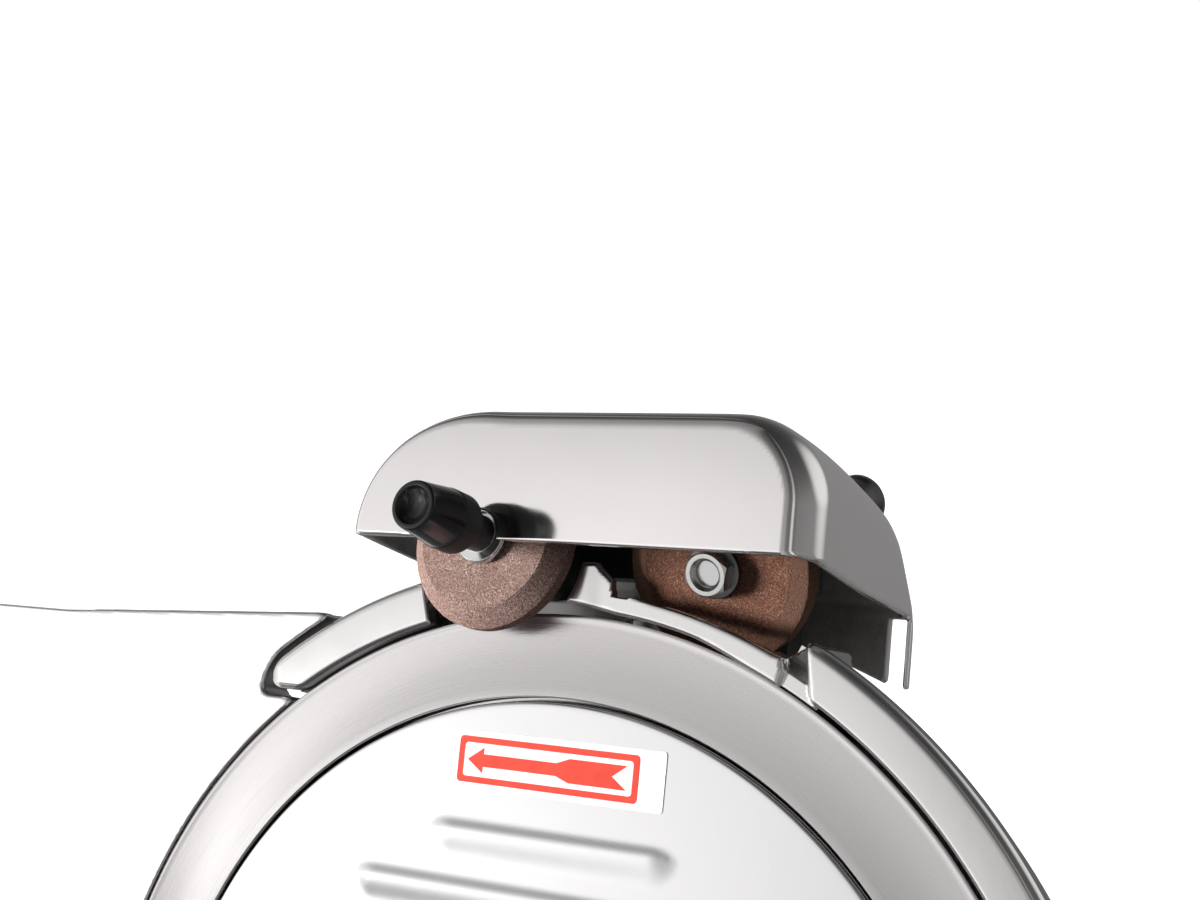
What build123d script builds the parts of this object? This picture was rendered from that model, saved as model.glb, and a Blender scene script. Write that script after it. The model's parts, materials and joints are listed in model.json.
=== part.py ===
from build123d import *
import math
import os

os.makedirs("parts", exist_ok=True)

# ------------------------------------------------------------------ dimensions
# World frame: +X feed side (operator's right), -Y operator, +Z up, Z = 0 is the
# surface the feet stand on.  All lengths in millimetres.
OX, OY = -18.0, 45.0            # shifts the machine so that its box is centred on the origin

TILT = 20.0                     # lean of the blade away from vertical
BLADE_R = 125.0                 # 250 mm knife
BLADE_Z = 205.0                 # height of the knife centre
COVER_R = 102.7                 # fixed disc over the knife's middle
RECESS_R = 104.5                # inner rim of the ground ring of the knife
GUARD_RI, GUARD_RO = 126.5, 137.0
GUARD_FRONT, FLANGE_T = 2.8, 2.2
GUARD_BACK = -28.0
GUARD_A0, GUARD_A1 = -130.5, 129.5    # ends of the C-shaped guard, degrees from +Y

BASE_X0, BASE_X1 = -190.0, 120.0
BASE_Y0, BASE_Y1 = -212.0, 190.0
BASE_Z0, BASE_Z1 = 17.0, 62.0
BASE_R, WALL = 35.0, 5.0
TOWER_X0, TOWER_X1 = -30.0, 100.0
TOWER_Y1, TOWER_Z1 = -125.0, 98.0

GAUGE_T, GAUGE_TOP, GAUGE_BOT = 4.0, 119.6, -100.0
GAUGE_U0, GAUGE_TRAVEL = -222.0, 12.0

PULLEY_R, MOTOR_PULLEY_R = 50.0, 13.0
MOTOR_U, MOTOR_V = 88.0, -35.0
BELT_T = 3.0

ROD_X, ROD_Z, ROD_R = 88.0, 36.0, 9.0          # carriage rod
TRAVEL = 230.0                                 # carriage stroke
TRAY_U0, TRAY_U1 = -225.0, -15.0
TRAY_N0, TRAY_N1 = 4.5, 215.0
TRAY_V, TRAY_T = -95.0, 3.0
PUSH_U, PUSH_V = -238.0, -30.0                 # axis of the pusher rod

# sharpener, in the knife's frame (u along Y, v up the knife, n out of its face)
TILT1, TILT2 = 6.4, 18.5
S1 = (-18.0, 139.9, 2.9)        # inner face centre of the front stone
S2 = (34.3, 137.2, -3.0)        # inner face centre of the rear stone
STONE1_R, STONE1_T = 20.6, 8.8
STONE2_R, STONE2_FACE, STONE2_T = 22.0, 17.7, 8.0
SPIN_R = 4.0
POST_U, POST_N, POST_R = 8.0, -34.0, 6.0
HOOD_U0, HOOD_U1, HOOD_RL, HOOD_RR = -53.8, 64.6, 36.0, 17.0
HOOD_N, HOOD_T = 15.0, 2.4
HOOD_TOP, HOOD_BOT = 170.2, 139.6

RUN = 0.05                      # running clearance on radius

# ------------------------------------------------------------------ frames
CT, ST = math.cos(math.radians(TILT)), math.sin(math.radians(TILT))
W = Plane(origin=(OX, OY, 0), x_dir=(1, 0, 0), z_dir=(0, 0, 1))      # x, y, z
WY = Plane(origin=(OX, OY, 0), x_dir=(1, 0, 0), z_dir=(0, 1, 0))     # x, -z, y
WX = Plane(origin=(OX, OY, 0), x_dir=(0, 1, 0), z_dir=(1, 0, 0))     # y, z, x
K = Plane(origin=(OX, OY, BLADE_Z), x_dir=(0, 1, 0), z_dir=(CT, 0, ST))  # u, v, n
KV = Plane(origin=K.origin, x_dir=(0, 1, 0), z_dir=(-ST, 0, CT))     # u, -n, v
KU = Plane(origin=K.origin, x_dir=(CT, 0, ST), z_dir=(0, -1, 0))     # n, v, -u


def lean(point, angle):
    """Frame on a stone's axis: z along the axis, leaning up from n by angle."""
    a = math.radians(angle)
    d = K.z_dir * math.cos(a) + K.y_dir * math.sin(a)
    return Plane(origin=K.from_local_coords(point), x_dir=K.x_dir, z_dir=d)


A1 = lean(S1, TILT1)
A2 = lean(S2, -TILT2)


def rod(frame, x, y, z0, z1, r, mode=Mode.ADD):
    """Cylinder along the frame's normal from z0 to z1."""
    with Locations(frame.location * Pos(x, y, z0)):
        Cylinder(r, z1 - z0, align=(Align.CENTER, Align.CENTER, Align.MIN), mode=mode)


def slab(frame, x0, x1, y0, y1, z0, z1, mode=Mode.ADD):
    """Box between two corners given in the frame."""
    with Locations(frame.location * Pos(x0, y0, z0)):
        Box(x1 - x0, y1 - y0, z1 - z0, align=(Align.MIN, Align.MIN, Align.MIN), mode=mode)


def polar(r, a):
    return (r * math.cos(math.radians(a)), r * math.sin(math.radians(a)))


def wedge(a0, a1, r, steps=12):
    """Corners of a pie slice from angle a0 to a1."""
    return [(0, 0)] + [polar(r, a0 + (a1 - a0) * i / steps) for i in range(steps + 1)]


def save(build, name):
    build.part.label = name
    export_step(build.part, f"parts/{name}.step")


# ------------------------------------------------------------------ base
with BuildPart() as base_casting:
    with BuildSketch(W.offset(BASE_Z0)):
        with Locations(((BASE_X0 + BASE_X1) / 2, (BASE_Y0 + BASE_Y1) / 2)):
            RectangleRounded(BASE_X1 - BASE_X0, BASE_Y1 - BASE_Y0, BASE_R)
    extrude(amount=BASE_Z1 - BASE_Z0)
    fillet(base_casting.faces().sort_by(Axis.Z)[-1].edges(), 9)
    with BuildSketch(W.offset(BASE_Z0)):
        with Locations(((TOWER_X0 + TOWER_X1) / 2, (BASE_Y0 + TOWER_Y1) / 2)):
            RectangleRounded(TOWER_X1 - TOWER_X0, TOWER_Y1 - BASE_Y0, 14)
    extrude(amount=TOWER_Z1 - BASE_Z0)
    fillet(base_casting.faces().sort_by(Axis.Z)[-1].edges(), 7)
    # hollow inside of the base and the tower
    with BuildSketch(W.offset(BASE_Z0)):
        with Locations(((BASE_X0 + BASE_X1) / 2, (BASE_Y0 + BASE_Y1) / 2)):
            RectangleRounded(
                BASE_X1 - BASE_X0 - 2 * WALL, BASE_Y1 - BASE_Y0 - 2 * WALL, BASE_R - WALL
            )
    extrude(amount=BASE_Z1 - WALL - BASE_Z0, mode=Mode.SUBTRACT)
    with BuildSketch(W.offset(BASE_Z0)):
        with Locations(((TOWER_X0 + TOWER_X1) / 2, (BASE_Y0 + TOWER_Y1) / 2)):
            RectangleRounded(
                TOWER_X1 - TOWER_X0 - 2 * WALL, TOWER_Y1 - BASE_Y0 - 2 * WALL, 3
            )
    extrude(amount=TOWER_Z1 - WALL - BASE_Z0, mode=Mode.SUBTRACT)
    # slot in the right wall for the carriage arm
    slab(WX, -137, 127, 25, 47, BASE_X1 - WALL - 3, BASE_X1 + 3, Mode.SUBTRACT)
    # opening in the tower's roof for the gauge arm
    slab(W, 2, 47, -195, -151, TOWER_Z1 - WALL - 2, TOWER_Z1 + 2, Mode.SUBTRACT)
    # shaft hole of the dial, button holes, gland hole, cable way under the column
    rod(WY, 31.5, -55.8, BASE_Y0 - 1, BASE_Y0 + WALL + 1, 5 + RUN, Mode.SUBTRACT)
    rod(WY, -128, -40, BASE_Y0 - 1, BASE_Y0 + WALL + 1, 9.4, Mode.SUBTRACT)
    rod(WY, -92, -40, BASE_Y0 - 1, BASE_Y0 + WALL + 1, 9.4, Mode.SUBTRACT)
    rod(WY, -120, -40, BASE_Y1 - WALL - 1, BASE_Y1 + 1, 8, Mode.SUBTRACT)
    slab(W, -28, 2, 4, 70, BASE_Z1 - WALL - 2, BASE_Z1 + 2, Mode.SUBTRACT)
    # end bosses of the carriage rod
    for y0 in (BASE_Y0 + WALL - 1, BASE_Y1 - WALL - 8):
        rod(WY, ROD_X, -ROD_Z, y0, y0 + 9, 13)
    rod(WY, ROD_X, -ROD_Z, BASE_Y0 + WALL, BASE_Y1 - WALL, ROD_R, Mode.SUBTRACT)
    # screw bosses for the bottom cover
    for bx in (BASE_X0 + 18, BASE_X1 - 14):
        for by in (BASE_Y0 + 18, BASE_Y1 - 18):
            rod(W, bx, by, BASE_Z0, BASE_Z1 - WALL + 1, 7)
            rod(W, bx, by, BASE_Z0 - 1, BASE_Z0 + 14, 2.5, Mode.SUBTRACT)
save(base_casting, "base_casting")

with BuildPart() as bottom_cover:
    with BuildSketch(W.offset(BASE_Z0 - 2.5)):
        with Locations(((BASE_X0 + BASE_X1) / 2, (BASE_Y0 + BASE_Y1) / 2)):
            RectangleRounded(BASE_X1 - BASE_X0 - 3, BASE_Y1 - BASE_Y0 - 3, BASE_R - 1.5)
    extrude(amount=2.5)
    for bx in (BASE_X0 + 18, BASE_X1 - 14):
        for by in (BASE_Y0 + 18, BASE_Y1 - 18):
            rod(W, bx, by, BASE_Z0 - 3, BASE_Z0 + 1, 2.8, Mode.SUBTRACT)
    for i in range(6):
        slab(W, -150 + i * 12, -145 + i * 12, 90, 140, BASE_Z0 - 3, BASE_Z0 + 1, Mode.SUBTRACT)
save(bottom_cover, "bottom_cover")

FEET = [(-158, -170), (86, -170), (-158, 150), (86, 150)]
with BuildPart() as rubber_feet:
    for fx, fy in FEET:
        with Locations(W.location * Pos(fx, fy, 0)):
            Cone(17, 20, BASE_Z0 - 2.5, align=(Align.CENTER, Align.CENTER, Align.MIN))
save(rubber_feet, "rubber_feet")

# ------------------------------------------------------------------ column
with BuildPart() as column:
    with BuildSketch(K.offset(GUARD_BACK)):
        Circle(62)
        with Locations((MOTOR_U, MOTOR_V)):
            Circle(54)
        make_hull()
        Polygon((-40, 0), (-46, -155), (128, -155), (128, -60), (60, 0), align=None)
        with Locations((POST_U, 85)):
            Rectangle(20, 82)
    extrude(amount=-52)
    # neck reaches up only near the front
    slab(K, POST_U - 12, POST_U + 12, 66, 130, -90, -44, Mode.SUBTRACT)
    rod(KV, POST_U, -POST_N, 52, 126, 10)
    # motor case
    rod(K, MOTOR_U, MOTOR_V, -201, -79, 54)
    # bearing hub
    rod(K, 0, 0, -47, -16, 27)
    # insides: belt room, motor room, wall with a hole between them
    with BuildSketch(K.offset(-33)):
        Circle(57)
        with Locations((MOTOR_U, MOTOR_V)):
            Circle(49)
        make_hull()
        Polygon((-35, 0), (-41, -160), (123, -160), (123, -60), (58, 0), align=None)
    extrude(amount=-48, mode=Mode.SUBTRACT)
    rod(K, MOTOR_U, MOTOR_V, -84, -79, 53)
    rod(K, MOTOR_U, MOTOR_V, -205, -84, 49, Mode.SUBTRACT)
    rod(K, MOTOR_U, MOTOR_V, -90, -70, 20, Mode.SUBTRACT)
    rod(K, 0, 0, -47, -20, 27)
    rod(K, 0, 0, -50, -10, 21, Mode.SUBTRACT)
    # socket of the sharpener post and its clamp screw hole
    rod(KV, POST_U, -POST_N, 82, 130, POST_R + RUN, Mode.SUBTRACT)
    rod(K, POST_U, 104, -48, -34, 3 + RUN, Mode.SUBTRACT)
    # flat foot on the base
    slab(W, -400, 400, -400, 400, -100, BASE_Z1, Mode.SUBTRACT)
save(column, "column")

with BuildPart() as column_rear_cover:
    with BuildSketch(K.offset(-80)):
        Circle(60)
        with Locations((MOTOR_U, MOTOR_V)):
            Circle(52)
        make_hull()
        Polygon((-38, 0), (-44, -150), (126, -150), (126, -60), (59, 0), align=None)
        with Locations((MOTOR_U, MOTOR_V)):
            Circle(54.4, mode=Mode.SUBTRACT)
    extrude(amount=-3)
    rod(K, 0, 0, -90, -70, 4.6, Mode.SUBTRACT)
    slab(W, -400, 400, -400, 400, -100, BASE_Z1 + 0.5, Mode.SUBTRACT)
save(column_rear_cover, "column_rear_cover")

with BuildPart() as motor_end_cover:
    rod(K, MOTOR_U, MOTOR_V, -204, -201, 54)
    for i in range(5):
        slab(K, MOTOR_U - 26, MOTOR_U + 26, MOTOR_V - 22 + 10 * i, MOTOR_V - 18 + 10 * i, -206, -199, Mode.SUBTRACT)
    slab(W, -400, 400, -400, 400, -100, BASE_Z1 + 0.5, Mode.SUBTRACT)
save(motor_end_cover, "motor_end_cover")

# ------------------------------------------------------------------ ring guard
with BuildPart() as ring_guard:
    with BuildSketch(K.offset(GUARD_BACK)):
        Circle(GUARD_RO)
        Circle(GUARD_RO - 4.5, mode=Mode.SUBTRACT)
    extrude(amount=GUARD_FRONT - FLANGE_T - GUARD_BACK)
    with BuildSketch(K.offset(GUARD_FRONT - FLANGE_T)):
        Circle(GUARD_RO)
        Circle(GUARD_RI, mode=Mode.SUBTRACT)
    extrude(amount=FLANGE_T)
    fillet(
        ring_guard.faces().sort_by(Axis(K.origin, K.z_dir))[-1].edges().sort_by(SortBy.LENGTH)[-1],
        2.6,
    )
    # open front half
    with BuildSketch(K.offset(GUARD_BACK - 1)):
        Polygon(*wedge(GUARD_A1, 360 + GUARD_A0, 200), align=None)
    extrude(amount=60, mode=Mode.SUBTRACT)
    # clearing for the stones: the wall goes, the front lip stays
    with BuildSketch(K.offset(GUARD_BACK - 1)):
        Polygon(*wedge(62.5, 108, 200), align=None)
        Circle(110, mode=Mode.SUBTRACT)
    extrude(amount=GUARD_FRONT - FLANGE_T - GUARD_BACK + 1, mode=Mode.SUBTRACT)
    # gap for the front stone
    with BuildSketch(K.offset(-5)):
        Polygon((3.4, 110), (3.4, 150), polar(160, 107.5), polar(112, 107.5), align=None)
    extrude(amount=20, mode=Mode.SUBTRACT)
    # the lip drops to a thin arm under the rear stone, with a small groove at its end
    with BuildSketch(K.offset(-5)):
        with BuildLine():
            l1 = Polyline((8.6, 150), (8.6, 136.6))
            l2 = Spline((8.6, 136.6), (11.5, 132.9), polar(131.0, 82.0))
            l3 = ThreePointArc(l2 @ 1, polar(131.0, 73), polar(131.0, 65.6))
            Polyline(l3 @ 1, polar(127.6, 65.4), polar(127.6, 64.7), polar(160, 64.2), (8.6, 150))
        make_face()
    extrude(amount=20, mode=Mode.SUBTRACT)
    # room for the rear stone when it is pushed to the knife
    rod(A2, 0, 0, -10, 6.5, STONE2_R + 0.8, Mode.SUBTRACT)
    with Locations(A2.location * Pos(0, 0, 6.5)):
        Cone(STONE2_R + 0.8, STONE2_FACE + 0.6, 1.6, align=(Align.CENTER, Align.CENTER, Align.MIN), mode=Mode.SUBTRACT)
    # small shelf beside the stone gap, and the bridge that carries the front end of the guard
    with BuildSketch(K.offset(-23)):
        Polygon(*wedge(103.5, 109, 133.2), align=None)
        Circle(127.8, mode=Mode.SUBTRACT)
    extrude(amount=20)
    with BuildSketch(K.offset(-23)):
        Polygon(*wedge(55, 129.3, 116, 24), align=None)
        Polygon(*wedge(109, 129.3, 134), align=None)
        Polygon(*wedge(55, 61, 134), align=None)
        Circle(98, mode=Mode.SUBTRACT)
    extrude(amount=4)
    # back plate on the closed half
    with BuildSketch(K.offset(GUARD_BACK)):
        Polygon(*wedge(-80, 61, 134, 24), align=None)
        Circle(40, mode=Mode.SUBTRACT)
    extrude(amount=4)
    for a in (-56, -18, 18, 54):
        rod(K, *polar(52, a), -29, -20, 2.6, Mode.SUBTRACT)
save(ring_guard, "ring_guard")

# ------------------------------------------------------------------ knife and drive
with BuildPart() as spindle_bearings:
    for n0 in (-28.5, -46):
        with BuildSketch(K.offset(n0)):
            Circle(21)
            Circle(10 + RUN, mode=Mode.SUBTRACT)
        extrude(amount=12)
save(spindle_bearings, "spindle_bearings")

with BuildPart() as blade:
    with BuildSketch(KU):
        with BuildLine():
            Polyline(
                (-6, 20), (-6, 98.8), (-0.9, RECESS_R - 0.9), (0, RECESS_R), (-0.45, 114),
                (0, BLADE_R), (-0.35, BLADE_R), (-3.2, 116), (-4.2, 101.5), (-9.5, 97),
                (-9.5, 20), close=True,
            )
        make_face()
    revolve(axis=Axis(K.origin, K.z_dir))
    for a in (45, 135, 225, 315):
        rod(K, *polar(28, a), -12, -4, 2.6, Mode.SUBTRACT)
save(blade, "blade")

with BuildPart() as blade_spindle:
    rod(K, 0, 0, -13.5, -9.5, 36)
    rod(K, 0, 0, -9.5, -6, 19.9)
    rod(K, 0, 0, -74, -13.5, 10)
    rod(K, 0, 0, -15.5, -13.5, 13)
    rod(K, 0, 0, -80, 0, 4.8, Mode.SUBTRACT)
    for a in (45, 135, 225, 315):
        rod(K, *polar(28, a), -15, -9, 2.4, Mode.SUBTRACT)
save(blade_spindle, "blade_spindle")

with BuildPart() as blade_screws:
    for a in (45, 135, 225, 315):
        rod(K, *polar(28, a), -6, -4.4, 4.6)
        rod(K, *polar(28, a), -13.5, -6, 2.4)
save(blade_screws, "blade_screws")

with BuildPart() as blade_pulley:
    rod(K, 0, 0, -66, -50, PULLEY_R)
    rod(K, 0, 0, -70, -48, 16)
    with BuildSketch(K.offset(-67)):
        Circle(43)
        Circle(22, mode=Mode.SUBTRACT)
    extrude(amount=6, mode=Mode.SUBTRACT)
    for n0 in (-66, -51.4):
        rod(K, 0, 0, n0, n0 + 1.4, PULLEY_R + 3.5)
    rod(K, 0, 0, -72, -46, 10, Mode.SUBTRACT)
save(blade_pulley, "blade_pulley")

with BuildPart() as drive_belt:
    with BuildSketch(K.offset(-64.2)):
        Circle(PULLEY_R + 0.3 + BELT_T)
        with Locations((MOTOR_U, MOTOR_V)):
            Circle(MOTOR_PULLEY_R + 0.3 + BELT_T)
        make_hull()
    extrude(amount=12.4)
    with BuildSketch(K.offset(-65)):
        Circle(PULLEY_R + 0.3)
        with Locations((MOTOR_U, MOTOR_V)):
            Circle(MOTOR_PULLEY_R + 0.3)
        make_hull()
    extrude(amount=14, mode=Mode.SUBTRACT)
save(drive_belt, "drive_belt")

with BuildPart() as motor_body:
    rod(K, MOTOR_U, MOTOR_V, -188, -84, 44)
    rod(K, MOTOR_U, MOTOR_V, -84, -76, 15)
    for n0 in (-172, -158, -144, -130, -116, -102):
        with BuildSketch(K.offset(n0)):
            with Locations((MOTOR_U, MOTOR_V)):
                Circle(45)
                Circle(42, mode=Mode.SUBTRACT)
        extrude(amount=5, mode=Mode.SUBTRACT)
    rod(K, MOTOR_U, MOTOR_V, -178, -96, 26, Mode.SUBTRACT)
    rod(K, MOTOR_U, MOTOR_V, -190, -70, 7 + RUN, Mode.SUBTRACT)
save(motor_body, "motor_body")

with BuildPart() as motor_rotor:
    rod(K, MOTOR_U, MOTOR_V, -186, -47, 7)
    rod(K, MOTOR_U, MOTOR_V, -176, -98, 25.4)
save(motor_rotor, "motor_rotor")

with BuildPart() as motor_pulley:
    rod(K, MOTOR_U, MOTOR_V, -66, -50, MOTOR_PULLEY_R)
    for n0 in (-66, -51.4):
        rod(K, MOTOR_U, MOTOR_V, n0, n0 + 1.4, MOTOR_PULLEY_R + 3.5)
    rod(K, MOTOR_U, MOTOR_V, -70, -40, 7, Mode.SUBTRACT)
save(motor_pulley, "motor_pulley")

with BuildPart() as run_capacitor:
    rod(W, -100, 150, BASE_Z0, 52, 17)
    rod(W, -106, 150, 52, 55, 2)
    rod(W, -94, 150, 52, 55, 2)
save(run_capacitor, "run_capacitor")

# ------------------------------------------------------------------ knife cover
with BuildPart() as blade_cover:
    with BuildSketch(KU):
        with BuildLine():
            Polyline(
                (0.3, 0), (0.3, 99.5), (0.0, 101.8), (-0.6, COVER_R), (-1.2, COVER_R - 0.4),
                (-2.2, 100.2), (-2.2, 10), (-5.4, 10), (-5.4, 0), close=True,
            )
        make_face()
    revolve(axis=Axis(K.origin, K.z_dir))
    # raised ribs, cut to a circle
    for i in range(12):
        v = -71.5 + 13.0 * i
        h = math.sqrt(82.0**2 - v**2)
        with BuildSketch(K.offset(0.2)):
            with Locations((0, v)):
                SlotOverall(2 * h, 3.6)
        extrude(amount=1.0, taper=25)
    rod(K, 0, 0, -6, -1.5, 4 + RUN, Mode.SUBTRACT)
save(blade_cover, "blade_cover")

with BuildPart() as rotation_label:
    with BuildSketch(K.offset(0.3)):
        with Locations((0.5, 90)):
            RectangleRounded(56, 13.4, 1.6)
    extrude(amount=0.15)
save(rotation_label, "rotation_label")

with BuildPart() as cover_knob:
    with BuildSketch(K.offset(-84)):
        Circle(18)
        with PolarLocations(20.5, 6):
            Circle(5, mode=Mode.SUBTRACT)
    extrude(amount=-16)
    fillet(cover_knob.faces().sort_by(Axis(K.origin, K.z_dir))[0].edges(), 1.5)
    # moulded-in tie rod, through the hollow spindle to the cover
    rod(K, 0, 0, -96, -2, 4)
save(cover_knob, "cover_knob")

with BuildPart() as slice_deflector:
    with BuildSketch(K.offset(-16)):
        Polygon(*wedge(122, 236, 114, 20), align=None)
        Circle(46, mode=Mode.SUBTRACT)
    extrude(amount=1.5)
    for a in (155, 205):
        rod(K, *polar(53, a), -28, -15, 6)
        rod(K, *polar(53, a), -30, -10, 2.6, Mode.SUBTRACT)
save(slice_deflector, "slice_deflector")

# ------------------------------------------------------------------ screws of the frame
with BuildPart() as frame_screws:
    # bottom cover
    for bx in (BASE_X0 + 18, BASE_X1 - 14):
        for by in (BASE_Y0 + 18, BASE_Y1 - 18):
            rod(W, bx, by, BASE_Z0 - 5, BASE_Z0 - 2.5, 4.5)
            rod(W, bx, by, BASE_Z0 - 2.5, BASE_Z0 + 12, 2.4)
    # column and motor covers
    for a in (60, 120, 180, 225):
        u, v = polar(59.4, a)
        rod(K, u * 0.985, v * 0.985, -85.5, -83, 3.6)
    for a in (35, 145, 215, -35):
        u, v = polar(51.3, a)
        rod(K, MOTOR_U + u, MOTOR_V + v, -206.2, -204, 2.5)
    # ring guard
    for a in (-56, -18, 18, 54):
        rod(K, *polar(52, a), -24, -21, 4.6)
        rod(K, *polar(52, a), -28, -24, 2.5)
    # motor
    for a in (45, 135, 225, 315):
        u, v = polar(32, a)
        rod(K, MOTOR_U + u, MOTOR_V + v, -79, -76, 4)
    # deflector
    for a in (155, 205):
        rod(K, *polar(53, a), -14.5, -12.6, 4.4)
        rod(K, *polar(53, a), -28, -14.5, 2.5)
save(frame_screws, "frame_screws")

# ------------------------------------------------------------------ switch and gland
with BuildPart() as switch_plate:
    with BuildSketch(WY.offset(BASE_Y0)):
        with Locations((-110, -40)):
            RectangleRounded(78, 31, 6)
        with Locations((-128, -40), (-92, -40)):
            Circle(9.4, mode=Mode.SUBTRACT)
    extrude(amount=-3)
save(switch_plate, "switch_plate")

with BuildPart() as on_button:
    rod(WY, -128, -40, BASE_Y0 - 8, BASE_Y0 + 8, 9)
    fillet(on_button.faces().sort_by(Axis.Y)[0].edges(), 1.5)
    rod(WY, -128, -40, BASE_Y0 + 6, BASE_Y0 + 8, 11)
save(on_button, "on_button")

with BuildPart() as off_button:
    rod(WY, -92, -40, BASE_Y0 - 8, BASE_Y0 + 8, 9)
    fillet(off_button.faces().sort_by(Axis.Y)[0].edges(), 1.5)
    rod(WY, -92, -40, BASE_Y0 + 6, BASE_Y0 + 8, 11)
save(off_button, "off_button")

with BuildPart() as switch_block:
    slab(W, -146, -74, BASE_Y0 + 12.5, BASE_Y0 + 40, 24, BASE_Z1 - WALL)
save(switch_block, "switch_block")

with BuildPart() as cord_gland:
    with BuildSketch(WY.offset(BASE_Y1)):
        with Locations((-120, -40)):
            RegularPolygon(12, 6)
    extrude(amount=6)
    rod(WY, -120, -40, BASE_Y1, BASE_Y1 + 16, 9)
    rod(WY, -120, -40, BASE_Y1 - WALL - 7, BASE_Y1, 7.9)
    rod(WY, -120, -40, BASE_Y1 - 20, BASE_Y1 + 20, 4, Mode.SUBTRACT)
save(cord_gland, "cord_gland")

# ------------------------------------------------------------------ thickness gauge
PIN_N, PIN_V, CAM_N = 2.0, -151.0, -21.4
DIAL_X = CAM_N * CT - PIN_V * ST
DIAL_Z = BLADE_Z + PIN_V * CT + CAM_N * ST

with BuildPart() as gauge_plate:
    with BuildSketch(K.offset(-GAUGE_T)):
        with Locations(((GAUGE_U0 - 30) / 2, (GAUGE_TOP + GAUGE_BOT) / 2)):
            RectangleRounded(-30 - GAUGE_U0, GAUGE_TOP - GAUGE_BOT, 12)
        Polygon((-60, GAUGE_TOP + 1), (-60, 60), (0, 60), (0, GAUGE_TOP + 1), align=None, mode=Mode.SUBTRACT)
        Circle(BLADE_R + 1.6, mode=Mode.SUBTRACT)
        Polygon(*wedge(60, 130.9, 138.6, 40), align=None, mode=Mode.SUBTRACT)
        Polygon(*wedge(-60, -131.9, 138.6, 40), align=None, mode=Mode.SUBTRACT)
    extrude(amount=GAUGE_T)
    fillet(
        gauge_plate.edges().filter_by(Axis(K.origin, K.z_dir)).filter_by(
            lambda e: 130 < math.hypot(*tuple(K.to_local_coords(e.center()))[:2]) < 141
            and abs(K.to_local_coords(e.center()).Y) > 60
        ),
        1.6,
    )
save(gauge_plate, "gauge_plate")

with BuildPart() as gauge_carrier:
    slab(K, -206, -140, -80, 60, -9, -GAUGE_T)
    slab(K, -184, -162, -140, 50, -18, -9)
    slab(K, -190, -156, -167, -135, -20, 8)
    rod(K, -173, -143, -25, 12, 5 + RUN, Mode.SUBTRACT)
    rod(K, -173, -159, -25, 12, 5 + RUN, Mode.SUBTRACT)
    rod(KU, PIN_N, PIN_V, 188, 200, 3)
    for u, v in ((-196, -60), (-150, -60), (-196, 40), (-150, 40)):
        rod(K, u, v, -12, -2, 2.6, Mode.SUBTRACT)
save(gauge_carrier, "gauge_carrier")

with BuildPart() as gauge_screws:
    for u, v in ((-196, -60), (-150, -60), (-196, 40), (-150, 40)):
        rod(K, u, v, -12, -9, 4.5)
        rod(K, u, v, -9, -GAUGE_T, 2.5)
save(gauge_screws, "gauge_screws")

with BuildPart() as gauge_guide:
    slab(K, -207, -202, -169, -133, -50, 34)
    slab(K, -202, -150, -169, -133, -50, -46)
    slab(K, -202, -150, -169, -133, 30, 34)
    for v in (-143, -159):
        rod(K, -173, v, -52, 40, 5, Mode.SUBTRACT)
    rod(WY, DIAL_X, -DIAL_Z, -210, -200, 5 + RUN, Mode.SUBTRACT)
save(gauge_guide, "gauge_guide")

with BuildPart() as gauge_rods:
    for v in (-143, -159):
        rod(K, -173, v, -50, 34, 5)
save(gauge_rods, "gauge_rods")

# spiral cam: the pin rides on its rim, whose radius falls by the gauge's travel in 300 degrees
CAM_R, CAM_SWEEP = 20.0, 300.0
CAMF = Plane(origin=WY.from_local_coords((DIAL_X, -DIAL_Z, -200.6)), x_dir=K.z_dir, z_dir=(0, 1, 0))
with BuildPart() as dial_shaft:
    with BuildSketch(CAMF):
        with BuildLine():
            pts = [
                polar(CAM_R - GAUGE_TRAVEL * min(max(a, 0), CAM_SWEEP) / CAM_SWEEP, -a)
                for a in range(-18, 319, 6)
            ]
            c1 = Spline(*pts)
            Line(c1 @ 1, c1 @ 0)
        make_face()
    extrude(amount=6)
    rod(WY, DIAL_X, -DIAL_Z, -232, -194, 5)
    rod(WY, DIAL_X, -DIAL_Z, -201.4, -194, 6.6)
save(dial_shaft, "dial_shaft")

with BuildPart() as dial_scale:
    with BuildSketch(WY.offset(BASE_Y0)):
        with Locations((DIAL_X, -DIAL_Z)):
            Circle(36)
            Circle(5 + RUN, mode=Mode.SUBTRACT)
    extrude(amount=-1.6)
save(dial_scale, "dial_scale")

with BuildPart() as thickness_knob:
    with BuildSketch(WY.offset(BASE_Y0 - 2.2)):
        with Locations((DIAL_X, -DIAL_Z)):
            Circle(28)
            with PolarLocations(29.4, 24):
                Circle(2.2, mode=Mode.SUBTRACT)
    extrude(amount=-22)
    fillet(thickness_knob.faces().sort_by(Axis.Y)[0].edges(), 1.2)
    rod(WY, DIAL_X, -DIAL_Z, -232, -200, 5, Mode.SUBTRACT)
save(thickness_knob, "thickness_knob")

# ------------------------------------------------------------------ carriage
with BuildPart() as carriage_rod:
    rod(WY, ROD_X, -ROD_Z, BASE_Y0 + WALL, BASE_Y1 - WALL, ROD_R)
save(carriage_rod, "carriage_rod")

with BuildPart() as guide_rail:
    slab(W, 44, 52, BASE_Y0 + WALL, BASE_Y1 - WALL, 26, 34)
save(guide_rail, "guide_rail")

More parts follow.
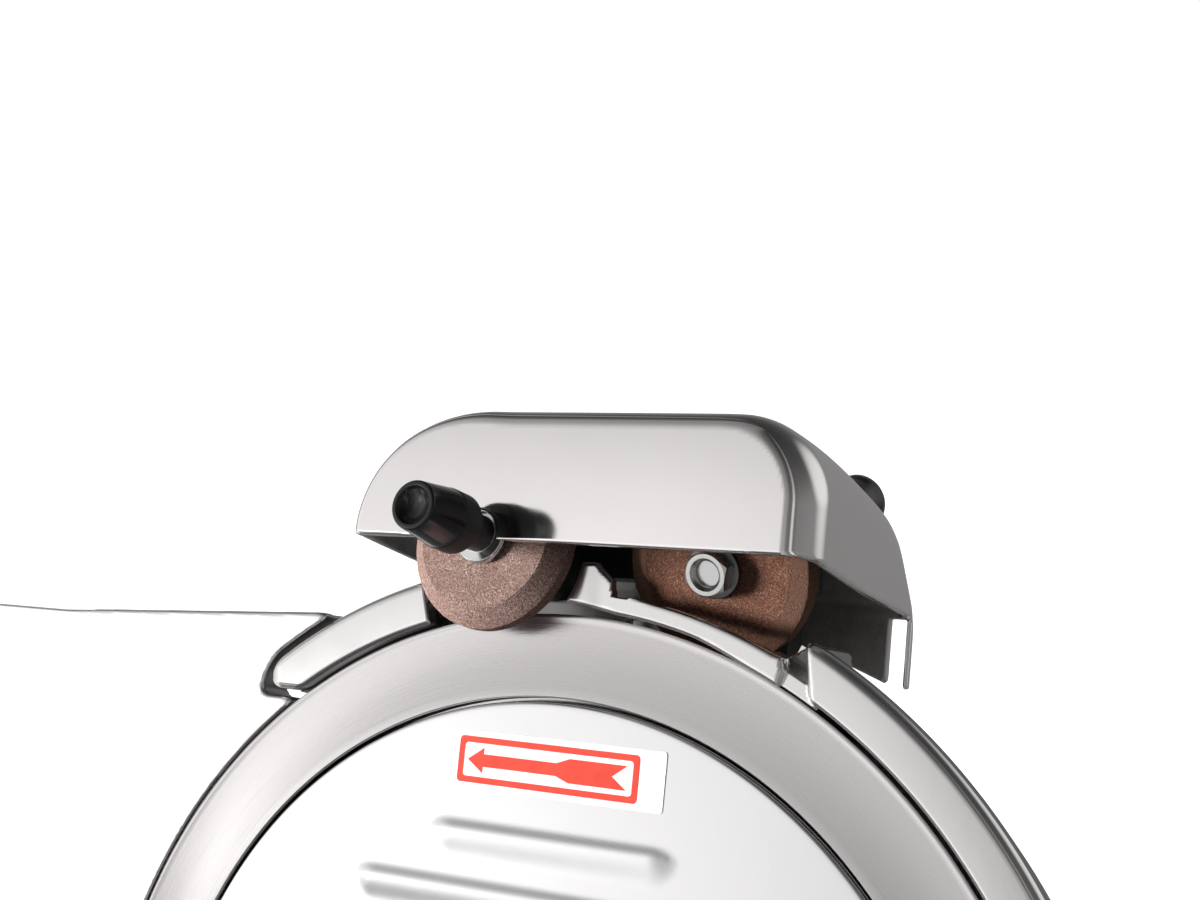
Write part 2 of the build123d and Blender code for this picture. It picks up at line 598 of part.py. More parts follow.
CAR_Y = -120.0
with BuildPart() as carriage_slider:
    slab(W, 70, 106, CAR_Y - 40, CAR_Y + 40, 22, 50)
    slab(W, 41, 70, CAR_Y - 20, CAR_Y + 20, 20, 25.6)
    slab(W, 41, 70, CAR_Y - 20, CAR_Y + 20, 34.4, 40)
    rod(WY, ROD_X, -ROD_Z, CAR_Y - 50, CAR_Y + 50, ROD_R + RUN, Mode.SUBTRACT)
save(carriage_slider, "carriage_slider")


def under(x, v):
    """Height of the plane at level v above world x."""
    return BLADE_Z + v / CT + x * ST / CT


with BuildPart() as carriage_arm:
    with BuildSketch(WY.offset(CAR_Y - 13)):
        with BuildLine():
            Polyline(
                (106, -28), (168, -28), (168, -under(168, -103)), (146, -under(146, -103)),
                (146, -44), (106, -44), close=True,
            )
        make_face()
    extrude(amount=26)
    slab(K, CAR_Y - 50, CAR_Y + 50, -104, TRAY_V - TRAY_T, 96, 182)
save(carriage_arm, "carriage_arm")

with BuildPart() as food_tray:
    slab(K, TRAY_U0, TRAY_U1, TRAY_V - TRAY_T, TRAY_V, TRAY_N0, TRAY_N1)
    slab(K, TRAY_U0, TRAY_U0 + 3, TRAY_V, -48, TRAY_N0, TRAY_N1)
    slab(K, TRAY_U0, TRAY_U1, TRAY_V, -80, TRAY_N1 - 3, TRAY_N1)
    for i in range(12):
        u = TRAY_U0 + 20 + i * 16
        slab(K, u - 1.5, u + 1.5, TRAY_V, TRAY_V + 1.0, TRAY_N0 + 8, TRAY_N1 - 12)
    # end brackets of the pusher rod
    for n0 in (24, 204):
        slab(K, PUSH_U - 11, TRAY_U0, -70, -18, n0, n0 + 6)
        rod(K, PUSH_U, PUSH_V, n0 - 1, n0 + 7, 6, Mode.SUBTRACT)
save(food_tray, "food_tray")

with BuildPart() as tray_knob:
    rod(KV, CAR_Y, -164, -128, -108, 13)
    fillet(tray_knob.faces().sort_by(Axis(K.origin, K.y_dir))[0].edges(), 2)
    rod(KV, CAR_Y, -164, -108, -104.4, 7)
save(tray_knob, "tray_knob")

with BuildPart() as hand_guard:
    with BuildSketch(K.offset(TRAY_N0 + 6)):
        with Locations((-260, -42)):
            RectangleRounded(70, 104, 16)
    extrude(amount=4)
    slab(K, -240, TRAY_U0, -92, -56, TRAY_N0 + 10, TRAY_N0 + 14)
save(hand_guard, "hand_guard")

with BuildPart() as carriage_handle:
    slab(K, -276, TRAY_U0, -84, -60, 170, 196)
    with BuildSketch(KV.offset(-92)):
        with Locations((-283, -183)):
            Circle(14)
    extrude(amount=104)
    fillet(carriage_handle.faces().sort_by(Axis(K.origin, K.y_dir))[-1].edges(), 8)
    fillet(carriage_handle.faces().sort_by(Axis(K.origin, K.y_dir))[0].edges(), 4)
save(carriage_handle, "carriage_handle")

with BuildPart() as pusher_rod:
    rod(K, PUSH_U, PUSH_V, 22, 212, 6)
save(pusher_rod, "pusher_rod")

with BuildPart() as pusher_bush:
    rod(K, PUSH_U, PUSH_V, 148, 192, 9)
    rod(K, PUSH_U, PUSH_V, 148, 153, 12)
    rod(K, PUSH_U, PUSH_V, 187, 192, 12)
    rod(K, PUSH_U, PUSH_V, 140, 200, 6 + RUN, Mode.SUBTRACT)
save(pusher_bush, "pusher_bush")

with BuildPart() as pusher_plate:
    rod(K, PUSH_U, PUSH_V, 153.3, 186.7, 12.5)
    slab(K, PUSH_U, -205, -41, -18.5, 158, 176)
    with BuildSketch(K.offset(160)):
        with Locations((-157, -56)):
            RectangleRounded(124, 74, 10)
    extrude(amount=8)
    for i in range(5):
        for j in range(3):
            with Locations(K.location * Pos(-203 + 23 * i, -78 + 22 * j, 160) * Rot(180, 0, 0)):
                Cone(3.4, 0.6, 8, align=(Align.CENTER, Align.CENTER, Align.MIN))
    rod(K, PUSH_U, PUSH_V, 150, 190, 9 + RUN, Mode.SUBTRACT)
save(pusher_plate, "pusher_plate")

with BuildPart() as pusher_handle:
    rod(K, -150, -48, 168, 186, 7)
    with BuildSketch(K.offset(184)):
        with Locations((-150, -48)):
            Circle(15)
    extrude(amount=22)
    fillet(pusher_handle.faces().sort_by(Axis(K.origin, K.z_dir))[-1].edges(), 6)
save(pusher_handle, "pusher_handle")

# ------------------------------------------------------------------ sharpener
def quarter(cx, cy, a, b):
    """Points of the upper left quarter of an ellipse."""
    return [(cx + a * math.cos(math.radians(180 - 15 * i)), cy + b * math.sin(math.radians(180 - 15 * i))) for i in range(7)]


TOP_CURVE = [(-4, 168.6), (-22, 163.0), (-38, 156.6), (-45.4, 148.6), (-48.5, 135.0)]

with BuildPart() as sharpener_hood:
    # side profile, then the front outline
    with BuildSketch(KU.offset(-HOOD_U1)):
        with BuildLine():
            h1 = Polyline((HOOD_N, HOOD_BOT), (HOOD_N, HOOD_TOP))
            h2 = Spline((HOOD_N, HOOD_TOP), *TOP_CURVE)
            Polyline(
                h2 @ 1, (-48.5, 115.7), (-48.5 + HOOD_T, 115.7), (-48.5 + HOOD_T, 130.5),
                (8, 138.6), (HOOD_N, HOOD_BOT),
            )
        make_face()
    extrude(amount=HOOD_U1 - HOOD_U0)
    with BuildSketch(K.offset(-60)):
        with BuildLine():
            f1 = Polyline((HOOD_U0, 100), (HOOD_U0, HOOD_BOT + 1))
            f2 = Spline(*quarter(HOOD_U0 + HOOD_RL, HOOD_BOT + 1, HOOD_RL, HOOD_TOP - HOOD_BOT - 1), tangents=((0, 1), (1, 0)))
            f3 = Line((HOOD_U0 + HOOD_RL, HOOD_TOP), (HOOD_U1 - HOOD_RR, HOOD_TOP))
            f4 = RadiusArc((HOOD_U1 - HOOD_RR, HOOD_TOP), (HOOD_U1, HOOD_TOP - HOOD_RR), HOOD_RR)
            Polyline((HOOD_U1, HOOD_TOP - HOOD_RR), (HOOD_U1, 100), (HOOD_U0, 100))
        make_face()
    extrude(amount=100, mode=Mode.INTERSECT)
    fillet(
        sharpener_hood.faces().sort_by(Axis(K.origin, K.z_dir))[-1].edges().filter_by(
            lambda e: K.to_local_coords(e.center()).Y > HOOD_BOT + 1
        ),
        3.0,
    )
    outer = sharpener_hood.part
with BuildPart() as hood_core:
    with BuildSketch(KU.offset(-HOOD_U1 + HOOD_T)):
        with BuildLine():
            h1 = Polyline((HOOD_N - HOOD_T, 100), (HOOD_N - HOOD_T, HOOD_TOP - HOOD_T))
            h2 = Spline((HOOD_N - HOOD_T, HOOD_TOP - HOOD_T), *[(n + HOOD_T * (0.3 if v > 160 else 0.7 if v > 150 else 1.0), v - HOOD_T * (1.0 if v > 160 else 0.8 if v > 150 else 0.45 if v > 140 else 0)) for n, v in TOP_CURVE])
            Polyline(h2 @ 1, (-48.5 + HOOD_T, 100), (HOOD_N - HOOD_T, 100))
        make_face()
    extrude(amount=HOOD_U1 - HOOD_U0 - 2 * HOOD_T)
    with BuildSketch(K.offset(-60)):
        with BuildLine():
            f1 = Polyline((HOOD_U0 + HOOD_T, 90), (HOOD_U0 + HOOD_T, HOOD_BOT + 1))
            f2 = Spline(*quarter(HOOD_U0 + HOOD_RL, HOOD_BOT + 1, HOOD_RL - HOOD_T, HOOD_TOP - HOOD_BOT - 1 - HOOD_T), tangents=((0, 1), (1, 0)))
            f3 = Line((HOOD_U0 + HOOD_RL, HOOD_TOP - HOOD_T), (HOOD_U1 - HOOD_RR, HOOD_TOP - HOOD_T))
            f4 = RadiusArc((HOOD_U1 - HOOD_RR, HOOD_TOP - HOOD_T), (HOOD_U1 - HOOD_T, HOOD_TOP - HOOD_RR), HOOD_RR - HOOD_T)
            Polyline((HOOD_U1 - HOOD_T, HOOD_TOP - HOOD_RR), (HOOD_U1 - HOOD_T, 90), (HOOD_U0 + HOOD_T, 90))
        make_face()
    extrude(amount=100, mode=Mode.INTERSECT)
with BuildPart() as hood_shell:
    add(sharpener_hood.part)
    add(hood_core.part, mode=Mode.SUBTRACT)
    # notch for the front push rod with a pocket for its ring, hole for the rear push rod
    rod(A1, 0, 0, 6, 30, 5.2, Mode.SUBTRACT)
    rod(A1, 0, 0, 6, 11.2, 7.4, Mode.SUBTRACT)
    rod(A2, 0, 0, -70, -30, 7.2, Mode.SUBTRACT)
    for u in (24, 33):
        rod(K, u, 124.5, -52, -40, 2.1, Mode.SUBTRACT)
    # slot that parts the rear wall from the thin leg at its right edge
    slab(K, 59.2, 63.2, 110, 131.0, -60, -45.9, Mode.SUBTRACT)
save(hood_shell, "sharpener_hood")

with BuildPart() as sharpener_bracket:
    slab(K, -26, 44, 136, 146, -40, -27.4)
    rod(A1, 0, 0, -34, -14, 8.5)
    rod(A2, 0, 0, -30.5, -22.3, 7.2)
    rod(KV, POST_U, -POST_N, 88, 138, POST_R)
    rod(KV, POST_U, -POST_N, 126.2, 138, 9.5)
    slab(K, 19.6, 37.4, 118, 131, -46.1, -38)
    slab(K, 19.6, 37.4, 128, 138, -42, -36)
    rod(A1, 0, 0, -40, -5, SPIN_R + RUN, Mode.SUBTRACT)
    rod(A2, 0, 0, -50, -15, SPIN_R + RUN, Mode.SUBTRACT)
    # room for the rear spring, and for the end ring of the front spindle
    rod(A2, 0, 0, -70, -30.5, 6.6, Mode.SUBTRACT)
    rod(A1, 0, 0, -44, -34, 7, Mode.SUBTRACT)
    for u in (24, 33):
        rod(K, u, 124.5, -50, -39, 2.0, Mode.SUBTRACT)
save(sharpener_bracket, "sharpener_bracket")

with BuildPart() as hood_screws:
    for u in (24, 33):
        rod(K, u, 124.5, -51, -48.5, 3.6)
        rod(K, u, 124.5, -48.5, -39.5, 2.0)
save(hood_screws, "hood_screws")

with BuildPart() as sharpener_lock_knob:
    rod(K, POST_U, 104, -50, -40.4, 3)
    with BuildSketch(K.offset(-50)):
        with Locations((POST_U, 104)):
            Circle(10)
            with PolarLocations(11.4, 5):
                Circle(2.8, mode=Mode.SUBTRACT)
    extrude(amount=-14)
    fillet(sharpener_lock_knob.faces().sort_by(Axis(K.origin, K.z_dir))[0].edges(), 1.0)
save(sharpener_lock_knob, "sharpener_lock_knob")

with BuildPart() as grinding_stone:
    rod(A1, 0, 0, 0, STONE1_T, STONE1_R)
    chamfer(grinding_stone.edges().filter_by(GeomType.CIRCLE), 2.7)
    rod(A1, 0, 0, -2, STONE1_T + 2, SPIN_R + RUN, Mode.SUBTRACT)
save(grinding_stone, "grinding_stone")

with BuildPart() as grinding_spindle:
    rod(A1, 0, 0, -36.5, 28, SPIN_R)
    rod(A1, 0, 0, -2.3, -0.3, 6)
    rod(A1, 0, 0, -36.5, -34.3, 6)
    with BuildSketch(A1.offset(STONE1_T + 0.3)):
        Circle(6.6)
        Circle(SPIN_R, mode=Mode.SUBTRACT)
    extrude(amount=1.5)
save(grinding_spindle, "grinding_spindle")

with BuildPart() as grinding_knob:
    rod(A1, 0, 0, 20.0, 37.5, 6.4)
    rod(A1, 0, 0, 20.0, 26.2, 7.0)
    chamfer(grinding_knob.faces().sort_by(Axis(A1.origin, A1.z_dir))[-1].edges(), 0.8)
    with BuildSketch(A1.offset(36.7)):
        Circle(4.6)
    extrude(amount=2, mode=Mode.SUBTRACT)
    rod(A1, 0, 0, 0, 28, SPIN_R, Mode.SUBTRACT)
save(grinding_knob, "grinding_knob")


def coil(frame, z0, z1, r, wire, turns):
    """Helix path of a compression spring."""
    return Helix(pitch=(z1 - z0) / turns, height=z1 - z0, radius=r).moved(frame.location * Pos(0, 0, z0))


SPRING1 = coil(A1, -13.0, -3.4, 5.3, 0.9, 4)
with BuildPart() as grinding_spring:
    with BuildSketch(Plane(origin=SPRING1 @ 0, z_dir=SPRING1 % 0)):
        Circle(0.45)
    sweep(path=SPRING1, is_frenet=True)
save(grinding_spring, "grinding_spring")

with BuildPart() as deburring_stone:
    # flat face within a low cone
    rod(A2, 0, 0, -STONE2_T, -1.6, STONE2_R)
    with Locations(A2.location * Pos(0, 0, -1.6)):
        Cone(STONE2_R, STONE2_FACE, 1.6, align=(Align.CENTER, Align.CENTER, Align.MIN))
    chamfer(deburring_stone.faces().sort_by(Axis(A2.origin, A2.z_dir))[0].edges(), 1.2)
    rod(A2, 0, 0, -STONE2_T - 2, 2, SPIN_R + RUN, Mode.SUBTRACT)
save(deburring_stone, "deburring_stone")

with BuildPart() as deburring_spindle:
    rod(A2, 0, 0, -80, 0.3, SPIN_R)
    rod(A2, 0, 0, 0, 3.0, 2.9)
    rod(A2, 0, 0, -STONE2_T - 2.3, -STONE2_T - 0.3, 6)
    rod(A2, 0, 0, -22.0, -20.0, 6.5)
save(deburring_spindle, "deburring_spindle")

with BuildPart() as deburring_nut:
    with BuildSketch(A2.offset(0.3)):
        Circle(7.2)
        Circle(2.9, mode=Mode.SUBTRACT)
    extrude(amount=0.9)
    with BuildSketch(A2.offset(1.2)):
        RegularPolygon(5.5, 6, major_radius=True)
        Circle(2.9, mode=Mode.SUBTRACT)
    extrude(amount=2.5)
save(deburring_nut, "deburring_nut")

with BuildPart() as deburring_knob:
    rod(A2, 0, 0, -84, -66, 7.4)
    fillet(deburring_knob.faces().sort_by(Axis(A2.origin, A2.z_dir))[0].edges(), 2)
    rod(A2, 0, 0, -80, -60, SPIN_R, Mode.SUBTRACT)
save(deburring_knob, "deburring_knob")

SPRING2 = coil(A2, -65.2, -31.3, 5.3, 0.9, 8)
with BuildPart() as deburring_spring:
    with BuildSketch(Plane(origin=SPRING2 @ 0, z_dir=SPRING2 % 0)):
        Circle(0.45)
    sweep(path=SPRING2, is_frenet=True)
save(deburring_spring, "deburring_spring")
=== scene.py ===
import json
import math

import bpy
import numpy as np
from mathutils import Matrix, Vector


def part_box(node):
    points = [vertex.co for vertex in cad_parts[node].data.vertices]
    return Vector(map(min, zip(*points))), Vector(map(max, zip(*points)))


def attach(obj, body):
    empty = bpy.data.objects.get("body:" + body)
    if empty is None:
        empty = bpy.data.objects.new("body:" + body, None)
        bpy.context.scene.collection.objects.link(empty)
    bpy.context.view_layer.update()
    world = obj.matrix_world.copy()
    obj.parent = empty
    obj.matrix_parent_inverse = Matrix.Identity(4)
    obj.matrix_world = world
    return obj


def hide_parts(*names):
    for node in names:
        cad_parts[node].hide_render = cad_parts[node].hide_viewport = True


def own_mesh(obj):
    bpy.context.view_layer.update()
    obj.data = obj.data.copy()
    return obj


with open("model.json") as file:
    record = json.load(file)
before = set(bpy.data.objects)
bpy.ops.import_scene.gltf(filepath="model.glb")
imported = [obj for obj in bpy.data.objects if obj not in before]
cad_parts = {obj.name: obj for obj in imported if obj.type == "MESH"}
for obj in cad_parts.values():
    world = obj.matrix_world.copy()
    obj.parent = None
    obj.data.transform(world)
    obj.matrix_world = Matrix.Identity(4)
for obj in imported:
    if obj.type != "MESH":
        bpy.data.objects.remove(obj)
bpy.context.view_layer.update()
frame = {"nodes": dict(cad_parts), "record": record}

NODES = frame["nodes"]
RNG = np.random.default_rng(7)

# ------------------------------------------------------------------ frames
# lengths in millimetres in the local frames, metres in the objects
TILT = math.radians(20.0)
CT, ST = math.cos(TILT), math.sin(TILT)
ORG = np.array([-18.0, 45.0, 205.0])
AU = np.array([0.0, 1.0, 0.0])
AV = np.array([-ST, 0.0, CT])
AN = np.array([CT, 0.0, ST])


def frame_of(origin, x, y, z):
    m = Matrix.Identity(4)
    for i, c in enumerate((x, y, z)):
        for r in range(3):
            m[r][i] = float(c[r])
    for r in range(3):
        m[r][3] = float(origin[r]) / 1000.0
    return m


def kpt(u, v, n):
    return ORG + AU * u + AV * v + AN * n


KF = frame_of(ORG, AU, AV, AN)                       # u, v, n: the knife's frame


def axis_frame(point, angle):
    a = math.radians(angle)
    d = AN * math.cos(a) + AV * math.sin(a)
    return frame_of(kpt(*point), AU, np.cross(d, AU), d)


S1, S2 = (-18.0, 139.9, 2.9), (34.3, 137.2, -3.0)
A1 = axis_frame(S1, 6.4)
A2 = axis_frame(S2, -18.5)
WF = frame_of((-18.0, 45.0, 0.0), (1, 0, 0), (0, 1, 0), (0, 0, 1))


# ------------------------------------------------------------------ mesh helpers
def new_object(name, verts, faces, matrix, body, material, smooth=True, normals=None, replaces=None, faces_mat=None):
    """Mesh in a local frame (mm), placed by that frame's matrix, riding on a body."""
    me = bpy.data.meshes.new(name)
    me.from_pydata((np.asarray(verts, float) / 1000.0).tolist(), [], [tuple(int(i) for i in f) for f in faces])
    me.validate()
    mats = material if isinstance(material, (list, tuple)) else [material]
    for m in mats:
        me.materials.append(m)
    if faces_mat is not None:
        me.polygons.foreach_set("material_index", np.asarray(faces_mat, np.int32))
    me.polygons.foreach_set("use_smooth", np.full(len(me.polygons), smooth))
    me.update()
    if normals is not None and len(normals) == len(me.vertices):
        me.normals_split_custom_set_from_vertices(np.asarray(normals, float).tolist())
    ob = bpy.data.objects.new(name, me)
    bpy.context.scene.collection.objects.link(ob)
    ob.matrix_world = matrix
    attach(ob, body)
    if replaces:
        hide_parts(*([replaces] if isinstance(replaces, str) else replaces))
    return ob


def sharp(ob, angle=35.0):
    """Smooth shading with hard edges above an angle."""
    me = ob.data
    me.set_sharp_from_angle(angle=math.radians(angle))
    return ob


def lathe(profile, steps=128, close=False):
    """Verts and faces of a profile of (radius, height) turned about z."""
    P = np.asarray(profile, float)
    k = len(P)
    a = np.arange(steps) * 2 * np.pi / steps
    verts, ring = [], []
    for i, (r, z) in enumerate(P):
        if r < 1e-6:
            ring.append([len(verts)] * steps)
            verts.append((0.0, 0.0, z))
        else:
            ring.append(list(range(len(verts), len(verts) + steps)))
            verts.extend(zip(r * np.cos(a), r * np.sin(a), np.full(steps, z)))
    faces = []
    pairs = [(i, i + 1) for i in range(k - 1)] + ([(k - 1, 0)] if close else [])
    for i, j in pairs:
        A, B = ring[i], ring[j]
        for s in range(steps):
            t = (s + 1) % steps
            f = [A[s], A[t], B[t], B[s]]
            g = []
            for q in f:
                if q not in g:
                    g.append(q)
            if len(g) >= 3:
                faces.append(g)
    return verts, faces


def rounded(points, radii, n=5):
    """Polyline with its inner corners rounded; radii of the inner points."""
    P = [np.asarray(p, float) for p in points]
    out = [P[0]]
    for i in range(1, len(P) - 1):
        a, b, c = P[i - 1], P[i], P[i + 1]
        d1, d2 = (a - b) / np.linalg.norm(a - b), (c - b) / np.linalg.norm(c - b)
        r = radii[i - 1]
        ang = math.acos(max(-1.0, min(1.0, float(d1 @ d2))))
        if r <= 0 or ang > 3.1:
            out.append(b)
            continue
        t = min(r / math.tan(ang / 2), 0.49 * np.linalg.norm(a - b), 0.49 * np.linalg.norm(c - b))
        r = t * math.tan(ang / 2)
        bis = (d1 + d2) / np.linalg.norm(d1 + d2)
        ctr = b + bis * (r / math.sin(ang / 2))
        p, q = b + d1 * t - ctr, b + d2 * t - ctr
        tot = math.acos(max(-1.0, min(1.0, float(p @ q) / (r * r))))
        sgn = 1 if p[0] * q[1] - p[1] * q[0] > 0 else -1
        for k in range(n + 1):
            w = sgn * tot * k / n
            out.append(ctr + np.array([p[0] * math.cos(w) - p[1] * math.sin(w), p[0] * math.sin(w) + p[1] * math.cos(w)]))
    out.append(P[-1])
    return [tuple(p) for p in out]


# ------------------------------------------------------------------ implicit surfaces
def rmax(a, b, r):
    """Intersection with its edge rounded by r."""
    return np.minimum(-r, np.maximum(a, b)) + np.hypot(np.maximum(a + r, 0), np.maximum(b + r, 0))


def rmin(a, b, r):
    """Union with its inner corner filled by r."""
    return np.maximum(r, np.minimum(a, b)) - np.hypot(np.maximum(r - a, 0), np.maximum(r - b, 0))


def smooth01(x):
    x = np.clip(x, 0, 1)
    return x * x * (3 - 2 * x)


def line_dist(x, y, pts, closed=True):
    """Signed distance in the plane to a polygon, or to an open line with its inside on the left."""
    P = np.asarray(pts, float)
    Q = np.roll(P, -1, 0)
    if not closed:
        P, Q = P[:-1], Q[:-1]
    best = side = None
    for (ax, ay), (bx, by) in zip(P, Q):
        ex, ey = bx - ax, by - ay
        wx, wy = x - ax, y - ay
        t = np.clip((wx * ex + wy * ey) / (ex * ex + ey * ey), 0, 1)
        d = (wx - ex * t) ** 2 + (wy - ey * t) ** 2
        if closed:
            cond = ((ay <= y) != (by <= y)) & (x < ax + (y - ay) * ex / (ey if ey else 1e-12))
            side = cond if side is None else side ^ cond
            best = d if best is None else np.minimum(best, d)
        else:
            c = ex * wy - ey * wx
            if best is None:
                best, side = d, c > 0
            else:
                near = d < best - 1e-9
                side = np.where(near, c > 0, side)
                best = np.minimum(best, d)
    return np.where(side, -1.0, 1.0) * np.sqrt(best)


def surface(f, lo, hi, h, relax=2, newton=3):
    """Closed quad mesh of f = 0 inside a box, its vertices moved onto the surface; returns verts, faces, normals."""
    ax = [np.arange(lo[i] - 1.5 * h, hi[i] + 2.5 * h, h) for i in range(3)]
    X, Y, Z = np.meshgrid(*ax, indexing="ij", sparse=True)
    D = np.broadcast_to(f(X, Y, Z), tuple(len(a) for a in ax)).astype(np.float64)
    S = D < 0
    corners = [(a, b, c) for c in (0, 1) for b in (0, 1) for a in (0, 1)]
    n = [len(a) - 1 for a in ax]
    cut = lambda A, a, b, c: A[a : a + n[0], b : b + n[1], c : c + n[2]]
    count = sum(cut(S, *c).astype(np.int8) for c in corners)
    act = (count > 0) & (count < 8)
    idx = np.argwhere(act)
    vid = np.full(act.shape, -1, np.int64)
    vid[act] = np.arange(len(idx))
    val = np.stack([D[idx[:, 0] + a, idx[:, 1] + b, idx[:, 2] + c] for a, b, c in corners], 1)
    C = np.array(corners, float)
    pos, num = np.zeros((len(idx), 3)), np.zeros(len(idx))
    for i in range(8):
        for j in range(i + 1, 8):
            if np.abs(C[i] - C[j]).sum() != 1:
                continue
            a, b = val[:, i], val[:, j]
            m = (a < 0) != (b < 0)
            t = np.where(m, a / np.where(m, a - b, 1), 0)
            pos += np.where(m[:, None], C[i] + (C[j] - C[i]) * t[:, None], 0)
            num += m
    pos = pos / num[:, None] + idx
    p = np.stack([ax[i][0] + pos[:, i] * h for i in range(3)], 1)
    quads = []
    for axis in range(3):
        lo_s = [slice(None)] * 3
        hi_s = [slice(None)] * 3
        lo_s[axis], hi_s[axis] = slice(0, -1), slice(1, None)
        A, B = S[tuple(lo_s)], S[tuple(hi_s)]
        e = np.argwhere(A != B)
        o1, o2 = (axis + 1) % 3, (axis + 2) % 3
        ok = (e[:, o1] > 0) & (e[:, o2] > 0) & (e[:, o1] < n[o1]) & (e[:, o2] < n[o2])
        e = e[ok]
        up = A[tuple(e.T)]
        cells = []
        for d1, d2 in ((-1, -1), (0, -1), (0, 0), (-1, 0)):
            c = e.copy()
            c[:, o1] += d1
            c[:, o2] += d2
            cells.append(vid[tuple(c.T)])
        q = np.stack(cells, 1)
        q[~up] = q[~up][:, ::-1]
        quads.append(q)
    quads = np.concatenate(quads)

    def grad(p, e=0.03):
        g = np.empty_like(p)
        for i in range(3):
            a, b = p.copy(), p.copy()
            a[:, i] += e
            b[:, i] -= e
            g[:, i] = (f(*a.T) - f(*b.T)) / (2 * e)
        return g

    def project(p, times):
        for _ in range(times):
            g = grad(p)
            s = f(*p.T) / np.maximum((g * g).sum(1), 0.05)
            step = g * s[:, None]
            ln = np.linalg.norm(step, axis=1)
            step *= np.minimum(1, 0.6 * h / np.maximum(ln, 1e-9))[:, None]
            p = p - step
        return p

    p = project(p, newton)
    edges = np.unique(np.sort(np.concatenate([quads[:, [0, 1]], quads[:, [1, 2]], quads[:, [2, 3]], quads[:, [3, 0]]]), 1), axis=0)
    deg = np.bincount(edges.ravel(), minlength=len(p))[:, None]
    for _ in range(relax):
        acc = np.zeros_like(p)
        np.add.at(acc, edges[:, 0], p[edges[:, 1]])
        np.add.at(acc, edges[:, 1], p[edges[:, 0]])
        p = project(0.4 * p + 0.6 * acc / deg, 2)
    g = grad(p)
    g /= np.maximum(np.linalg.norm(g, axis=1, keepdims=True), 1e-9)
    return p, quads, g


# ------------------------------------------------------------------ materials
class Mat:
    """Small builder for node materials."""

    def __init__(self, name, **values):
        self.m = bpy.data.materials.new(name)
        self.m.use_nodes = True
        self.t = self.m.node_tree
        self.b = self.t.nodes["Principled BSDF"]
        for k, v in values.items():
            key = k.replace("_", " ").title() if k not in ("ior",) else "IOR"
            key = {"Coat Ior": "Coat IOR", "Specular": "Specular IOR Level", "Base": "Base Color", "Emission": "Emission Color"}.get(key, key)
            s = self.b.inputs[key]
            s.default_value = (*v, 1.0) if isinstance(v, (tuple, list)) and len(v) == 3 else v

    def node(self, kind, **values):
        x = self.t.nodes.new(kind)
        for k, v in values.items():
            setattr(x, k, v)
        return x

    def link(self, a, b):
        self.t.links.new(a, b)

    def coords(self, scale=(1, 1, 1), rot=(0, 0, 0)):
        """Object coordinates in millimetres, scaled."""
        tc = self.node("ShaderNodeTexCoord")
        mp = self.node("ShaderNodeMapping")
        mp.inputs["Scale"].default_value = [1000.0 * s for s in scale]
        mp.inputs["Rotation"].default_value = rot
        self.link(tc.outputs["Object"], mp.inputs["Vector"])
        return mp.outputs["Vector"]

    def noise(self, vec, scale=1.0, detail=3.0, rough=0.5, distortion=0.0):
        x = self.node("ShaderNodeTexNoise")
        x.inputs["Scale"].default_value = scale
        x.inputs["Detail"].default_value = detail
        x.inputs["Roughness"].default_value = rough
        x.inputs["Distortion"].default_value = distortion
        self.link(vec, x.inputs["Vector"])
        return x.outputs["Fac"]

    def voronoi(self, vec, scale=1.0, feature="F1", out="Distance", randomness=1.0):
        x = self.node("ShaderNodeTexVoronoi", feature=feature)
        x.inputs["Scale"].default_value = scale
        x.inputs["Randomness"].default_value = randomness
        self.link(vec, x.inputs["Vector"])
        return x.outputs[out]

    def ramp(self, fac, stops):
        x = self.node("ShaderNodeValToRGB")
        els = x.color_ramp.elements
        while len(els) < len(stops):
            els.new(0.5)
        for e, (p, c) in zip(els, stops):
            e.position = p
            e.color = (*c, 1.0) if isinstance(c, (tuple, list)) else (c, c, c, 1.0)
        self.link(fac, x.inputs["Fac"])
        return x.outputs["Color"]

    def remap(self, fac, lo, hi, a=0.0, b=1.0):
        x = self.node("ShaderNodeMapRange")
        for k, v in (("From Min", a), ("From Max", b), ("To Min", lo), ("To Max", hi)):
            x.inputs[k].default_value = v
        self.link(fac, x.inputs["Value"])
        return x.outputs["Result"]

    def math(self, op, a, b=None):
        x = self.node("ShaderNodeMath", operation=op)
        for i, v in enumerate((a, b)):
            if v is None:
                continue
            if isinstance(v, (int, float)):
                x.inputs[i].default_value = v
            else:
                self.link(v, x.inputs[i])
        return x.outputs[0]

    def mix(self, fac, a, b, blend="MIX"):
        x = self.node("ShaderNodeMix", data_type="RGBA", blend_type=blend)
        for i, v in ((0, fac), (6, a), (7, b)):
            if isinstance(v, (int, float)):
                x.inputs[i].default_value = v
            elif isinstance(v, (tuple, list)):
                x.inputs[i].default_value = (*v, 1.0)
            else:
                self.link(v, x.inputs[i])
        return x.outputs[2]

    def bump(self, height, strength=0.2, distance=0.0001):
        x = self.node("ShaderNodeBump")
        x.inputs["Strength"].default_value = strength
        x.inputs["Distance"].default_value = distance
        self.link(height, x.inputs["Height"])
        return x.outputs["Normal"]

    def to(self, socket, out):
        self.link(out, self.b.inputs[socket])
        return self


